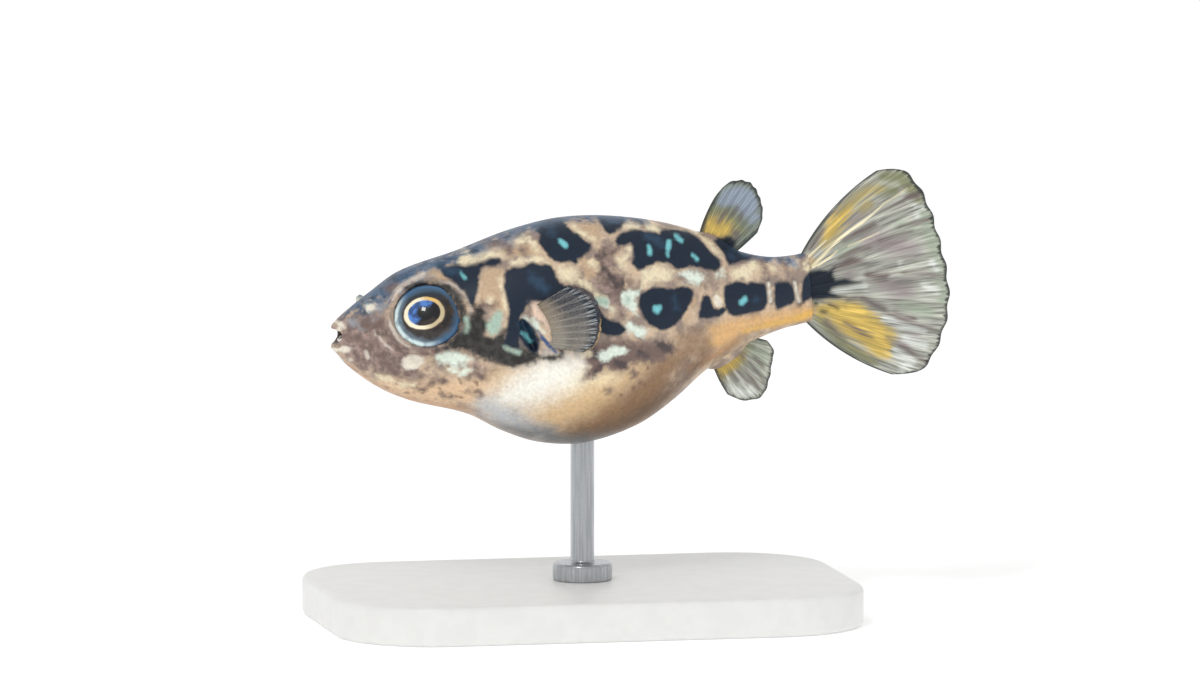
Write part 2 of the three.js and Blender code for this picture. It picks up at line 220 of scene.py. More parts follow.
def turn_normals_out(piece):
    """Makes every face of a closed mesh look outwards."""
    select_only(piece)
    bpy.ops.object.mode_set(mode="EDIT")
    bpy.ops.mesh.select_all(action="SELECT")
    bpy.ops.mesh.normals_make_consistent(inside=False)
    bpy.ops.object.mode_set(mode="OBJECT")


print("a tenth, eased:", round(softened(0.1), 3))

# %% Node helpers


def paint(red, green, blue):
    """A colour given as it looks on screen, 0 to 255, turned into the linear values that nodes expect."""
    shown = (c / 255 for c in (red, green, blue))
    return (*(c / 12.92 if c <= 0.04045 else ((c + 0.055) / 1.055) ** 2.4 for c in shown), 1.0)


def add_node(tree, kind, inputs=(), **settings):
    """Adds a node. An input given as a socket is linked, and one given as a value is set."""
    node = tree.nodes.new(kind)
    for key, value in settings.items():
        setattr(node, key, value)
    for key, value in dict(inputs).items():
        socket = node.inputs[key]
        if isinstance(value, bpy.types.NodeSocket):
            tree.links.new(value, socket)
        else:
            socket.default_value = value
    return node


def new_material(name, **values):
    """A material with a Principled BSDF whose named sockets are set."""
    made = bpy.data.materials.new(name)
    made.use_nodes = True
    tree = made.node_tree
    tree.nodes.clear()
    out = tree.nodes.new("ShaderNodeOutputMaterial")
    shader = tree.nodes.new("ShaderNodeBsdfPrincipled")
    tree.links.new(shader.outputs["BSDF"], out.inputs["Surface"])
    for key, value in values.items():
        shader.inputs[key.replace("_", " ").title().replace("Ior", "IOR")].default_value = value
    return made, tree, shader


def blend_in(tree, base, colour, mask):
    """Lays a colour over another one where the mask is 1."""
    mix = add_node(tree, "ShaderNodeMix", {0: mask, 6: base, 7: colour}, data_type="RGBA")
    return mix.outputs[2]


def calculate(tree, operation, *values):
    """One Math node."""
    node = add_node(tree, "ShaderNodeMath", dict(enumerate(values)), operation=operation)
    return node.outputs[0]


def clamp_range(tree, value, low, high, to_low=0.0, to_high=1.0):
    """A smooth step from one value to another between two limits."""
    node = add_node(
        tree, "ShaderNodeMapRange",
        {"Value": value, "From Min": low, "From Max": high, "To Min": to_low, "To Max": to_high},
        interpolation_type="SMOOTHSTEP",
    )
    return node.outputs[0]


def noise(tree, scale, detail=3.0, where=None):
    """Noise on the object's own coordinates, in features per metre, or on coordinates that are given."""
    where = where or add_node(tree, "ShaderNodeTexCoord").outputs["Object"]
    made = add_node(tree, "ShaderNodeTexNoise", {"Vector": where, "Scale": scale, "Detail": detail})
    return made.outputs[0]


def reading(tree, name):
    """The value that the mesh carries under a name."""
    return add_node(tree, "ShaderNodeAttribute", attribute_name=name).outputs["Fac"]


def tone(tree, colour, factor, share=1.0):
    """A colour times a factor, which may lie over 1, where the share is 1."""
    mix = add_node(
        tree, "ShaderNodeMix", {0: share, 6: colour, 7: factor}, data_type="RGBA", blend_type="MULTIPLY",
    )
    return mix.outputs[2]


def product(tree, *values):
    """All the values times one another."""
    result = values[0]
    for value in values[1:]:
        result = calculate(tree, "MULTIPLY", result, value)
    return result


def gloss(shader, weight, roughness):
    """A clear coat over a finish."""
    shader.inputs["Coat Weight"].default_value = weight
    shader.inputs["Coat Roughness"].default_value = roughness


print("middle grey, as the nodes see it:", round(paint(128, 128, 128)[0], 3))

# %% Paper sweep
FLOOR_SIZE = 3.0  # metres
SWEEP_RADIUS = 0.5
FAR_EDGE = 0.4 * FLOOR_SIZE  # what lies behind this line belongs to the far edge
PAPER_GLOW = 0.22

floor = new_primitive(bpy.ops.mesh.primitive_plane_add, "paper_sweep", size=FLOOR_SIZE)
choose(floor, "EDGE", lambda ends: all(end.y > FAR_EDGE for end in ends))
bpy.ops.mesh.extrude_region_move(TRANSFORM_OT_translate={"value": (0, 0, FLOOR_SIZE / 2)})
bpy.ops.object.mode_set(mode="OBJECT")
choose(floor, "EDGE", lambda ends: all(end.y > FAR_EDGE and end.z < 0.01 for end in ends))
bpy.ops.mesh.bevel(offset=SWEEP_RADIUS, segments=32)
bpy.ops.object.mode_set(mode="OBJECT")
floor.data.shade_smooth()

paper, tree, shader = new_material("paper", roughness=0.9, specular_ior_level=0.15)
grain = noise(tree, 900.0)
shade = blend_in(tree, paint(252, 252, 252), paint(250, 250, 250), clamp_range(tree, grain, 0.35, 0.65))
tree.links.new(shade, shader.inputs["Base Color"])
shader.inputs["Emission Color"].default_value = (1, 1, 1, 1)
shader.inputs["Emission Strength"].default_value = PAPER_GLOW
floor.data.materials.append(paper)
print("paper sweep:", len(floor.data.polygons), "faces")

# %% Lights
LIGHTS = (  # name, azimuth, elevation, distance in m, size in m, power in W, colour, seen in the gloss
    ("key", -42, 52, 0.6, 0.34, 0.6, (1, 0.985, 0.96), False),
    ("fill", 35, 20, 0.8, 0.6, 0.45, (0.93, 0.97, 1), False),
    ("rim", 150, 50, 0.7, 0.5, 0.3, (0.95, 0.98, 1), False),
    ("spark", -31, 45, 0.6, 0.08, 0.45, (1, 0.99, 0.97), True),
)
SKY = 0.62


def soft_light(name, azimuth, elevation, reach, size, power, colour, glints):
    """A square light that looks at the fish from a direction, seen in the gloss of the surfaces or not."""
    a, e = math.radians(azimuth), math.radians(elevation)
    back = Vector((math.sin(a) * math.cos(e), -math.cos(a) * math.cos(e), math.sin(e)))
    bpy.ops.object.light_add(type="AREA", location=middle + back * reach)
    lamp = bpy.context.object
    lamp.name = name
    lamp.rotation_mode = "QUATERNION"
    lamp.rotation_quaternion = (-back).to_track_quat("-Z", "Y")
    lamp.data.size = size
    lamp.data.energy = power
    lamp.data.color = colour
    lamp.visible_glossy = glints


for light in LIGHTS:
    soft_light(*light)

world = bpy.data.worlds.new("pale_room")
bpy.context.scene.world = world
world.use_nodes = True
world.node_tree.nodes["Background"].inputs["Color"].default_value = (1, 1, 1, 1)
world.node_tree.nodes["Background"].inputs["Strength"].default_value = SKY
bpy.context.scene.view_settings.view_transform = "Standard"
bpy.context.scene.view_settings.look = "None"

# %% [markdown]
# ## Outline of the body
# A pufferfish is almost round in section, so its form is told by four curves along its length: the line of
# the back, of the underside, half the width, and the height at which it is widest. Each is a smooth curve
# through a few measured points, in millimetres.

# %% Outline of the body


def through(*pairs):
    """A smooth curve through a few (station, value) pairs, read for an array of stations."""
    at, value = np.array(pairs, float).T
    last = len(at) - 1
    slope = np.array([
        (value[min(i + 1, last)] - value[max(i - 1, 0)]) / (at[min(i + 1, last)] - at[max(i - 1, 0)])
        for i in range(len(at))
    ])

    def curve(station):
        station = np.asarray(station, float)
        i = np.clip(np.searchsorted(at, station), 1, last)
        span = at[i] - at[i - 1]
        t = np.clip((station - at[i - 1]) / span, 0, 1)
        eased = softened(t)
        bow = span * t * (1 - t) * (slope[i - 1] * (1 - t) - slope[i] * t)
        return value[i - 1] * (1 - eased) + value[i] * eased + bow

    return curve


FRONT, BODY_LENGTH = -0.15, 24.6
back = through(
    (FRONT, 0.55), (0.5, 1.06), (2, 2.03), (3.6, 2.95), (6.5, 3.68), (9.5, 4.52), (12.3, 4.89),
    (15.5, 4.56), (18.6, 3.66), (20.6, 2.5), (22.6, 1.88), (BODY_LENGTH, 1.95),
)
underside = through(
    (FRONT, -0.6), (0.5, -1.5), (2, -2.76), (3.6, -3.6), (6.4, -4.52), (8.2, -5.58), (10, -6.32),
    (12.3, -6.56), (15, -5.94), (17, -4.84), (18.8, -3.52), (20.8, -2.5), (22.8, -1.86), (BODY_LENGTH, -1.62),
)
half_width = through(
    (FRONT, 0.62), (0.5, 1.2), (2, 1.98), (4, 2.86), (6.5, 3.5), (9.5, 4.05), (12, 4.25),
    (15, 3.85), (18, 2.7), (20.6, 1.72), (22.6, 1.12), (BODY_LENGTH, 0.26),
)
widest = through((0, -0.1), (4, -0.6), (8, -1.2), (12, -1.9), (15, -1.7), (19, -0.6), (BODY_LENGTH, 0))
ROUND_ABOVE, ROUND_BELOW = 2.15, 2.05  # exponents of the section's upper and lower half
MOUTH_SWEEP = 0.5  # how far the corners of the mouth lie behind its middle


def flank(s, h):
    """Half the body's width at a height."""
    level = widest(s)
    reach = np.where(h > level, back(s), underside(s)) - level
    return half_width(s) * np.sqrt(np.maximum(0, 1 - ((h - level) / reach) ** 2))


print("deepest section, mm:", float(back(12.3) - underside(12.3)), "widest:", 2 * float(half_width(12)))

# %% [markdown]
# ## Skin
# The skin is soft and has no seam, so it is made as a sculptor makes it: rough forms of clay are pressed
# together and smoothed into one. The body starts as a sphere whose rings are moved onto the outline. Rings
# become the lips and the rims of the eyes, and small balls the lobes at the fins. A voxel remesh then joins
# them all into one even mesh, and a boolean opens the mouth, the gills and the eye sockets.

# %% Clay: the body
RINGS, SEGMENTS = 150, 128
EVEN, CROWDED = 0.65, 0.35  # the rings stand even, or crowded towards the mouth, in these shares


def clay_body():
    """A sphere whose rings are moved onto the outline of the body, from the mouth to the tail."""
    body = new_primitive(
        bpy.ops.mesh.primitive_uv_sphere_add, "skin", segments=SEGMENTS, ring_count=RINGS, radius=1,
    )
    p = points_of(body)
    ring = np.arccos(np.clip(p[:, 2], -1, 1)) / math.pi * RINGS
    share = np.clip((ring - 1) / (RINGS - 2), 0, 1)
    s = FRONT + (BODY_LENGTH - FRONT) * (EVEN * share + CROWDED * share**2)
    turn = np.arctan2(p[:, 1], p[:, 0])
    across, up = np.cos(turn), np.sin(turn)
    power = 2 / np.where(up > 0, ROUND_ABOVE, ROUND_BELOW)
    level = widest(s)
    y = half_width(s) * np.sign(across) * np.abs(across) ** power
    reach = np.where(up > 0, back(s), underside(s)) - level
    h = level + reach * np.abs(up) ** power
    pole = np.abs(p[:, 2]) > 0.99999
    y[pole] = 0
    h[pole] = level[pole]
    sweep = MOUTH_SWEEP * np.exp(FRONT - s)
    set_points(body, np.column_stack([s + sweep * across**2 * ~pole, y, h]))
    return body


skin = clay_body()
print("clay body:", len(skin.data.polygons), "faces")

# %% Clay: lips, eye rims, nostrils, lobes
EYE_CENTRE = Vector((4.5, 1.95, 0.65))  # of the right eye; the left one is its mirror image
EYE_LOOK = Vector((-0.2, 0.88, 0.42)).normalized()
EYE_RADIUS, EYE_DEPTH = 1.92, 1.35
RIM = {"radius": 1.86, "thickness": 0.22, "wide": 1.08, "out": 0.6, "mound": 2.0, "mound_depth": 1.0}
MOUTH = {"half_width": 0.78, "half_height": 0.55, "lip": 0.22, "overshot": 0.13, "front": 0.12, "depth": 1.5}
NOSTRIL = Vector((1.72, 1.15, 1.42))
NOSTRIL_LEAN = Vector((-0.3, 0.4, 1)).normalized()
NOSTRIL_RADII = (0.3, 0.3, 0.44)
FIN_MOUND_RADII = (1.25, 0.52, 0.46)
FIN_MOUNDS = ((19.8, 2.75, 32), (20.05, -2.8, -32))  # station, height, slope in degrees: dorsal, anal
PECTORAL = {"s": 9.85, "h": 0.0, "root": 2.5, "lean": math.radians(20)}
ROOT_INSET = 0.1  # the blade stays this far within the ends of its lobe and starts this far behind it
LOBE = {"radii": (0.42, 0.5, PECTORAL["root"] / 2 + ROOT_INSET), "sunk": 0.05}
GILL = {"s": 9.12, "h": -0.3, "half_width": 0.22, "depth": 0.5, "half_length": 1.05}
SIDES = {"left": -1, "right": 1}


def facing(piece, direction, at):
    """Turns a shape that faces +Z so that it faces along a direction, at a place."""
    turn = Vector((0, 0, 1)).rotation_difference(direction).to_matrix().to_4x4()
    piece.data.transform(Matrix.Translation(at) @ turn)
    return piece


def mirrored(vector, side):
    """A place or a direction on the right side, or its mirror image on the left one."""
    return Vector((vector.x, side * vector.y, vector.z))


def ball(name, radii, segments=48, rings=24):
    """A ball with three radii, at the origin."""
    piece = new_primitive(
        bpy.ops.mesh.primitive_uv_sphere_add, name, segments=segments, ring_count=rings, radius=1,
    )
    piece.data.transform(Matrix.Diagonal((*radii, 1)))
    return piece


def round_mouth(piece):
    """Bends a shape round the mouth: x to the fish's left, y up, z forwards, from the middle of the gape."""
    left, up, forward = points_of(piece).T
    upward = up / np.hypot(left, up)
    swept = MOUTH_SWEEP * (left / MOUTH["half_width"]) ** 2
    s = MOUTH["front"] + swept + MOUTH["overshot"] * upward - forward
    h = up - (MOUTH["half_width"] - MOUTH["half_height"]) * upward
    set_points(piece, np.column_stack([s, -left, h]))
    return piece


clay = [round_mouth(new_primitive(
    bpy.ops.mesh.primitive_torus_add, "lips", major_segments=96, minor_segments=32,
    major_radius=MOUTH["half_width"], minor_radius=MOUTH["lip"],
))]
for side in SIDES.values():
    look, centre = mirrored(EYE_LOOK, side), mirrored(EYE_CENTRE, side)
    mound = ball("mound", (RIM["mound"] * RIM["wide"], RIM["mound"], RIM["mound_depth"]), 96, 48)
    clay.append(facing(mound, look, centre))
    rim = new_primitive(
        bpy.ops.mesh.primitive_torus_add, "rim", major_segments=96, minor_segments=24,
        major_radius=RIM["radius"], minor_radius=RIM["thickness"],
    )
    rim.data.transform(Matrix.Diagonal((RIM["wide"], 1, 1, 1)))
    clay.append(facing(rim, look, centre + look * RIM["out"]))
    tube = ball("nostril", NOSTRIL_RADII)
    clay.append(facing(tube, mirrored(NOSTRIL_LEAN, side), mirrored(NOSTRIL, side)))
    lobe = ball("lobe", LOBE["radii"])
    lobe.data.transform(Matrix.Rotation(-PECTORAL["lean"], 4, "Y"))
    reach = float(flank(PECTORAL["s"], PECTORAL["h"])) - LOBE["sunk"]
    lobe.data.transform(Matrix.Translation((PECTORAL["s"], side * reach, PECTORAL["h"])))
    clay.append(lobe)
for s, h, lean in FIN_MOUNDS:
    mound = ball("fin_mound", FIN_MOUND_RADII)
    mound.data.transform(Matrix.Translation((s, 0, h)) @ Matrix.Rotation(math.radians(lean), 4, "Y"))
    clay.append(mound)
print("pieces of clay:", len(clay))

# %% [markdown]
# ## One skin
# Joined pieces still show a crease where they meet. A voxel remesh lays one even net over them all and drops
# what lies inside, and a few rounds of smoothing melt the creases, as a wet thumb does on clay. A voxel of a
# tenth of a millimetre keeps the lips and the rims of the eyes.

# %% Press the clay into one skin
VOXEL = 0.1  # mm


def join(pieces, into):
    """Joins pieces into one of them, as separate shells."""
    select_only(into)
    for piece in pieces:
        piece.select_set(True)
    bpy.ops.object.join()
    return into


def smooth(piece, rounds, factor=0.5):
    """Melts small creases."""
    apply_modifier(piece, "SMOOTH", iterations=rounds, factor=factor)


join(clay, skin)
apply_modifier(skin, "REMESH", mode="VOXEL", voxel_size=VOXEL)
smooth(skin, 4)
print("one skin:", len(skin.data.polygons), "faces")

# %% [markdown]
# ## Openings
# The mouth, the small slit of the gill and the sockets are cut with balls. Modelling them from the start
# would twist the net round every hole, so they are cut from the finished form by an exact boolean. The
# sockets have the form of the eyeballs, so the skin closes round the eyes. A second remesh rounds the rims.

# %% Open the mouth, the gills and the eye sockets
SOCKET_GAP = -0.02  # mm; below zero the skin grips the eye
GAPE_ROOM = 0.04  # the gape cuts this deep into the lips


def cutters():
    """The balls that cut the gape, the sockets and the gill slits."""
    made = []
    gape = [MOUTH[half] - MOUTH["lip"] + GAPE_ROOM for half in ("half_width", "half_height")]
    made.append(ball("gape", (MOUTH["depth"], *gape)))
    for side in SIDES.values():
        radii = (r + SOCKET_GAP for r in (EYE_RADIUS, EYE_RADIUS, EYE_DEPTH))
        socket = ball("socket", radii, 96, 48)
        made.append(facing(socket, mirrored(EYE_LOOK, side), mirrored(EYE_CENTRE, side)))
        slit = ball("slit", (GILL["half_width"], GILL["depth"], GILL["half_length"]))
        slit.data.transform(Matrix.Rotation(-PECTORAL["lean"], 4, "Y"))
        reach = float(flank(GILL["s"], GILL["h"]))
        slit.data.transform(Matrix.Translation((GILL["s"], side * reach, GILL["h"])))
        made.append(slit)
    return made


cut = cutters()
cutter = join(cut[1:], cut[0])
apply_modifier(skin, "BOOLEAN", operation="DIFFERENCE", object=cutter, solver="EXACT")
bpy.data.objects.remove(cutter)
apply_modifier(skin, "REMESH", mode="VOXEL", voxel_size=VOXEL)
smooth(skin, 3)
print("opened skin:", len(skin.data.polygons), "faces")

# %% [markdown]
# ## Markings
# The dark blotches, turquoise spots and cream patches are what tells this species from its cousins, so
# they are drawn one by one. They could be cut out of noise, but then no blotch would sit where it should.
# They could be a painted image, but an image has no sharp edge up close. So each mark is a small drawing:
# either a closed outline of (x, y) corners, or a brush stroke of (x, y, radius) knots. It is drawn where the
# camera sees it, in pixels of the camera's frame, as LIPS_PIXEL is, and the next step throws it onto the
# fish.
# The marks are sorted by colour, from the broad washes to the last spots.

# %% Markings, in pixels of the camera's frame
# Some of these marks are painted light, not the skin's own colour: painted shade on the underside, painted
# reflections along the top outline, painted shade in the groove round the eye and painted highlights on the
# wet lips.
MARKINGS = {
    "dusk": (
        ((335, 318, 6), (350, 325, 14), (372, 335, 24), (392, 352, 18)),
        ((345, 345, 12), (385, 362, 16), (420, 374, 6)),
        ((545, 310, 12), (600, 270, 8), (606, 250, 4)),
        ((600, 262, 8), (616, 282, 9), (608, 300, 6)),
        ((375, 310, 8), (384, 296, 6), (400, 284, 4)),
        ((430, 345, 6), (445, 352, 5), (470, 366, 6), (500, 372, 4)),
        ((605, 285, 14), (620, 300, 10)),
        ((586, 310, 10),),
    ),
    "butter": (
        ((602, 362, 6), (588, 372, 9), (570, 382, 9), (612, 376, 4)),
    ),
    "freckles": (
        ((395, 384, 8), (430, 388, 13), (470, 390, 14), (500, 384, 6)),
        ((590, 378, 6), (620, 376, 8), (650, 366, 6), (680, 350, 4)),
        ((610, 392, 8), (640, 386, 8)),
    ),
    "throat": (
        ((385, 382, 4), (410, 390, 8), (440, 392, 12), (475, 392, 12), (500, 385, 8)),
    ),
    "sand": (
        ((580, 398, 6), (600, 402, 10)),
        ((500, 375, 6), (520, 385, 14), (560, 405, 26), (600, 400, 24)),
        ((590, 380, 12), (620, 385, 12), (640, 370, 8)),
    ),
    # painted shade: the underside darkens towards the tail and towards its lower edge
    "underside_shade": (
        ((682, 342, 6), (696, 341, 9), (708, 341, 8), (714, 346, 5)),
        ((690, 348, 9), (660, 372, 15), (648, 400, 26), (602, 424, 19), (572, 433, 11)),
        ((735, 338, 5), (700, 350, 9)),
        ((470, 418, 2), (500, 432, 3), (540, 445, 6), (580, 446, 8), (620, 436, 10)),
    ),
    # painted shade: a darker brown along the lower edge of the belly
    "lower_edge_shade": (
        ((700, 362, 4), (675, 388, 8), (650, 408, 11), (620, 426, 10), (595, 433, 7), (575, 437, 4)),
    ),
    "amber": (
        ((712, 334), (722, 326), (745, 320), (757, 321), (744, 333), (730, 342), (720, 349), (712, 346)),
        ((714, 330, 4), (732, 326, 6.5), (770, 319, 6), (805, 311, 5)),
    ),
    "gilt": (
        ((745, 331, 1.5), (770, 325, 2.5), (795, 319, 3), (815, 312, 4)),
    ),
    "white": (
        ((520, 374), (532, 365), (545, 360), (560, 359), (576, 358), (590, 356), (586, 366), (578, 377),
         (566, 388), (549, 398), (531, 405), (513, 409), (498, 407), (491, 402), (497, 393), (508, 383)),
    ),
    "ice": (
        ((484, 404, 5), (503, 415, 8), (520, 424, 7), (545, 434, 4)),
    ),
    # painted shade: grey along the bottom of the belly
    "grey_underside_shade": (
        ((505, 428, 2), (528, 433, 7), (545, 432, 6), (552, 439, 8), (585, 441, 7), (610, 436, 4)),
    ),
    "haze": (
        ((354, 322, 2), (366, 327, 3)),
        ((372, 316, 2), (380, 300, 3), (392, 284, 4), (404, 274, 3)),
        ((374, 300, 4), (384, 291, 6), (396, 283, 7), (410, 275, 6), (424, 270, 4)),
        ((478, 252, 3), (500, 243, 3), (515, 237, 2.5)),
        ((770, 260, 3), (795, 262, 4)),
    ),
    # partly painted reflection: the first three strokes lay a blue reflection along the top outline of the
    # head, back and tail; the last four are the blue-grey mottle of the forehead
    "sheen": (
        ((333, 318, 1.5), (345, 310, 2.5), (358, 302, 2.5), (372, 292, 3.5), (390, 281, 5), (408, 272, 5),
         (425, 264, 3), (440, 262, 5), (455, 258, 4), (472, 252, 4), (480, 247, 3)),
        ((480, 245, 2.2), (500, 237, 1.8), (520, 230, 1.8), (540, 223, 1.8), (560, 218, 1),
         (585, 215.5, 0.7), (600, 215, 0.7), (630, 217, 0.7), (645, 220, 0.7)),
        ((735, 252, 2), (752, 256, 2.5), (780, 257, 2), (803, 254, 3)),
        ((378, 294, 4), (388, 290, 3)),
        ((372, 300, 2), (384, 298, 2), (392, 290, 2)),
        ((398, 280, 3), (410, 276, 3), (420, 270, 3)),
        ((360, 306, 3), (366, 312, 2)),
    ),
    "brown": (
        ((519, 244), (523, 246), (525, 252), (527, 256), (523, 256), (520, 250)),
        ((508, 249, 2.6),),
        ((488, 246, 1.2), (496, 245, 1.6), (503, 243.5, 1)),
        ((604, 266, 1.4), (607, 272, 2.2), (613, 278, 2.2), (618, 285, 3), (620, 293, 3.8),
         (612, 297, 2.4)),
        ((605, 284, 2),),
        ((630, 284, 2.4),),
        ((602, 256, 1.6), (608, 254, 2.4), (615, 250, 1.6)),
        ((566, 287), (575, 285), (584, 285), (590, 291), (593, 299), (585, 298), (575, 294), (567, 292)),
        ((590, 346), (598, 343), (607, 340), (616, 340), (628, 341), (640, 344), (652, 341), (662, 343),
         (672, 345), (675, 350), (668, 354), (660, 360), (650, 363), (640, 361), (630, 365), (626, 370),
         (616, 371), (605, 369), (597, 374), (590, 378), (585, 379), (584, 374), (588, 366), (586, 358),
         (588, 351)),
        ((475, 304, 2.5), (476, 312, 3), (478, 320, 3)),
        ((481, 306, 3), (488, 305, 2.5), (494, 304, 1.5)),
        ((363, 322, 2.5), (372, 330, 3), (382, 322, 2)),
        ((358, 336, 2), (364, 345, 3), (372, 352, 2.5)),
        ((384, 360, 2), (396, 372, 2.5)),
        ((356, 352, 1.5), (358, 360, 1.5)),
        ((422, 352, 3), (434, 350, 3)),
        ((410, 385, 1.5), (425, 390, 1.5)),
        ((390, 333, 0.8), (392, 340, 1.6), (397, 346, 2.2), (402, 349, 2.2), (406, 353, 1.8),
         (405, 357, 1.2)),
        ((402, 358, 0.9), (398, 363, 1.3), (392, 369, 1.8), (387, 373, 1.4)),
        ((378, 340, 1), (380, 347, 1.4), (381, 354, 2)),
        ((363, 364, 1.4), (362, 369, 1.4)),
        ((370, 318, 1.6), (369, 325, 1.6)),
        ((350, 331, 1.8), (354, 338, 2), (350, 341, 1.4)),
        ((404, 375, 2), (412, 373, 2.6), (420, 374, 2)),
        ((430, 384, 1.8), (437, 379, 1.6), (443, 381, 2)),
        ((470, 375, 2), (477, 372, 3), (483, 378, 2.4)),
        ((468, 391, 1.6), (480, 393, 1.6)),
        ((444, 394, 1.6),),
        ((452, 396, 1.4),),
        ((763, 262, 1.6), (766, 272, 1)),
        ((782, 260, 1.2), (786, 270, 1.4)),
        ((804, 262, 3),),
        ((396, 286, 2.2), (389, 290, 1.6)),
        ((376, 316, 1.6),),
        ((640, 340, 3), (636, 330, 2)),
        ((583, 379, 1.2), (590, 372, 1.4)),
        ((634, 373, 3),),
        ((609, 389, 2),),
        ((700, 281, 2), (706, 288, 1.6)),
    ),
    "pewter": (
        ((768, 281, 2.4), (771.5, 304, 2.8)),
        ((794.5, 281, 2.2), (799.5, 303, 2.6)),
        ((603, 268, 2), (608, 274, 3), (612, 281, 3), (617, 287, 2.4)),
        ((622, 283, 1.6), (624, 290, 2)),
        ((596, 256, 1.6), (604, 252, 1.6)),
        ((614, 359, 2.5), (620, 364, 4.5), (626, 366, 3)),
        ((592, 349, 3), (596, 357, 2.5)),
        ((656, 344, 2.5), (665, 347, 4), (670, 350, 2)),
        ((600, 367, 2), (594, 372, 1.6)),
        ((640, 352, 2.5), (648, 356, 2)),
    ),
    "tan": (
        ((481, 275), (483, 270), (489, 267), (497, 267), (501, 271), (503, 278), (504, 288), (507, 298),
         (508, 308), (503, 314), (496, 312), (492, 306), (485, 304), (480, 302), (480, 292), (481, 283)),
        ((563, 221), (570, 217.5), (580, 216), (590, 216), (597, 219), (600, 227), (603, 233), (600, 238),
         (596, 241), (590, 241), (584, 238), (578, 233), (572, 230)),
        ((505, 252, 4), (520, 248, 7), (535, 250, 6)),
        ((585, 262, 4), (592, 266, 6), (588, 276, 4)),
        ((693, 300, 2.5), (690, 312, 3), (685, 320, 3)),
        ((772, 268, 4), (780, 265, 4), (792, 266, 5)),
        ((425, 273, 2), (436, 274, 5), (444, 279, 2)),
    ),
    "cream": (
        ((805, 263, 0.8), (813, 257, 1.2)),
        ((806, 269, 0.8), (813, 265, 1)),
        ((448, 369, 2), (460, 372, 2.4), (470, 370, 1.4)),
        ((459, 262), (463, 257), (468, 253), (471, 256), (478, 257), (484, 254), (490, 251), (500, 250),
         (502, 253), (498, 257), (488, 258.5), (478, 261), (470, 264), (462, 265)),
        ((518, 242, 2), (526, 239, 2.5), (533, 243, 2), (537, 250, 2)),
        ((513, 262.5, 1.8), (522, 261, 2.6), (530, 259, 2), (540, 259.5, 2.2), (546, 261.5, 1)),
        ((501, 279, 1), (503, 290, 1.2), (506, 300, 1.8), (506, 308, 1.6)),
        ((490, 299, 2.5),),
        ((573, 226, 2), (578, 231, 1.6), (586, 237, 1.6), (593, 238, 2)),
        ((624, 226.5, 1.8), (630, 224.5, 2.4), (637, 225.5, 2)),
        ((647, 227.5, 2.2), (653, 228.5, 2.8), (658, 230.5, 1.8)),
        ((617, 259, 1), (622, 262, 2.6), (626, 256, 2.6), (629, 249, 1.8)),
        ((625, 266, 2),),
        ((590, 262, 2), (594, 266, 2)),
        ((558, 269), (563, 267), (570, 268), (575, 271), (579, 276), (576, 280), (570, 282), (564, 280),
         (560, 275)),
        ((641, 276), (644, 271), (650, 268), (657, 265), (664, 266), (669, 269), (673, 273), (672, 277),
         (666, 279), (658, 280), (650, 283), (646, 288), (643, 288), (642, 282)),
        ((731, 274), (735, 269), (742, 266), (749, 263), (755, 260), (757, 263), (756, 269), (752, 274),
         (748, 280), (742, 279), (735, 278)),
        ((688, 229, 0.8), (697, 233, 1.2), (705, 240, 1.6), (713, 248, 2.2), (719, 253, 1.4)),
        ((377, 375.5), (382, 375), (390, 378), (393, 380), (387, 380.5), (380, 378.5)),
        ((396, 383, 1.6), (406, 384, 2), (414, 385, 1.4)),
        ((712.5, 300), (713.5, 295), (717, 293), (720.5, 295), (722, 300), (720.5, 305.5), (717, 308),
         (713.5, 305)),
        ((772, 268, 2),),
        ((589, 352, 1.2), (582, 355, 1.6)),
        ((570, 276, 3), (580, 281, 2.6), (590, 288, 2.2), (600, 297, 2), (608, 305, 1.8), (614, 311, 1)),
    ),
    "pearl": (
        ((768.6, 283, 1.3), (770.6, 302, 1.3)),
        ((794.6, 282, 1.2), (799, 301, 1.3)),
        ((716.8, 298, 3), (718, 303, 3)),
        ((403, 364), (405, 358), (411, 355), (418, 355), (424, 358), (425, 362), (421, 366), (415, 369),
         (408, 369), (404, 367)),
        # painted highlights: these two strokes are the shine on the wet upper and lower lip
        ((337, 322, 1), (342, 325, 1.6), (346, 328, 1.4)),
        ((332, 349, 1), (338, 350, 2), (346, 350.5, 2.4), (352, 349, 1.8)),
        ((336, 356, 1.4), (341, 361, 1.4)),
        ((341, 330, 1.2),),
        ((369.5, 308, 2.2), (374, 305, 1.4)),
    ),
    "rust": (
        ((690, 370, 3), (704, 361, 3.5), (718, 353, 3.5), (734, 343, 2.5)),
        ((348, 366, 1.5), (360, 377, 2), (375, 387, 2.5), (395, 396, 3), (420, 402, 3), (445, 406, 3),
         (470, 411, 2)),
    ),
    "moss": (
        ((467, 319, 0.6), (468, 325, 1.6), (466.5, 331, 1)),
        ((504, 347, 0.6), (511, 349.5, 1.3), (519, 353, 0.8)),
        ((491, 318), (495, 312), (499, 310), (502, 313), (502, 320), (500, 327), (497, 333), (493, 336),
         (490, 335), (488, 330), (489, 323)),
        ((628, 300, 3),),
        ((600, 300, 3), (606, 303, 2)),
    ),
    "mint": (
        ((437, 358), (441, 354), (448, 351.5), (458, 352), (466, 355), (471, 359), (469, 363), (462, 366),
         (452, 365), (443, 362.5), (439, 360)),
        ((496, 319, 1.6), (494, 325, 1.6)),
        ((623, 293), (628, 291), (634, 292), (637, 294), (636, 300), (635, 308), (636, 314), (632, 310),
         (627, 306), (622, 303), (621, 299)),
        ((601, 357), (603, 351), (608, 348), (616, 346.5), (623, 349), (626, 352), (621, 356),
         (613, 357.5), (606, 358.5)),
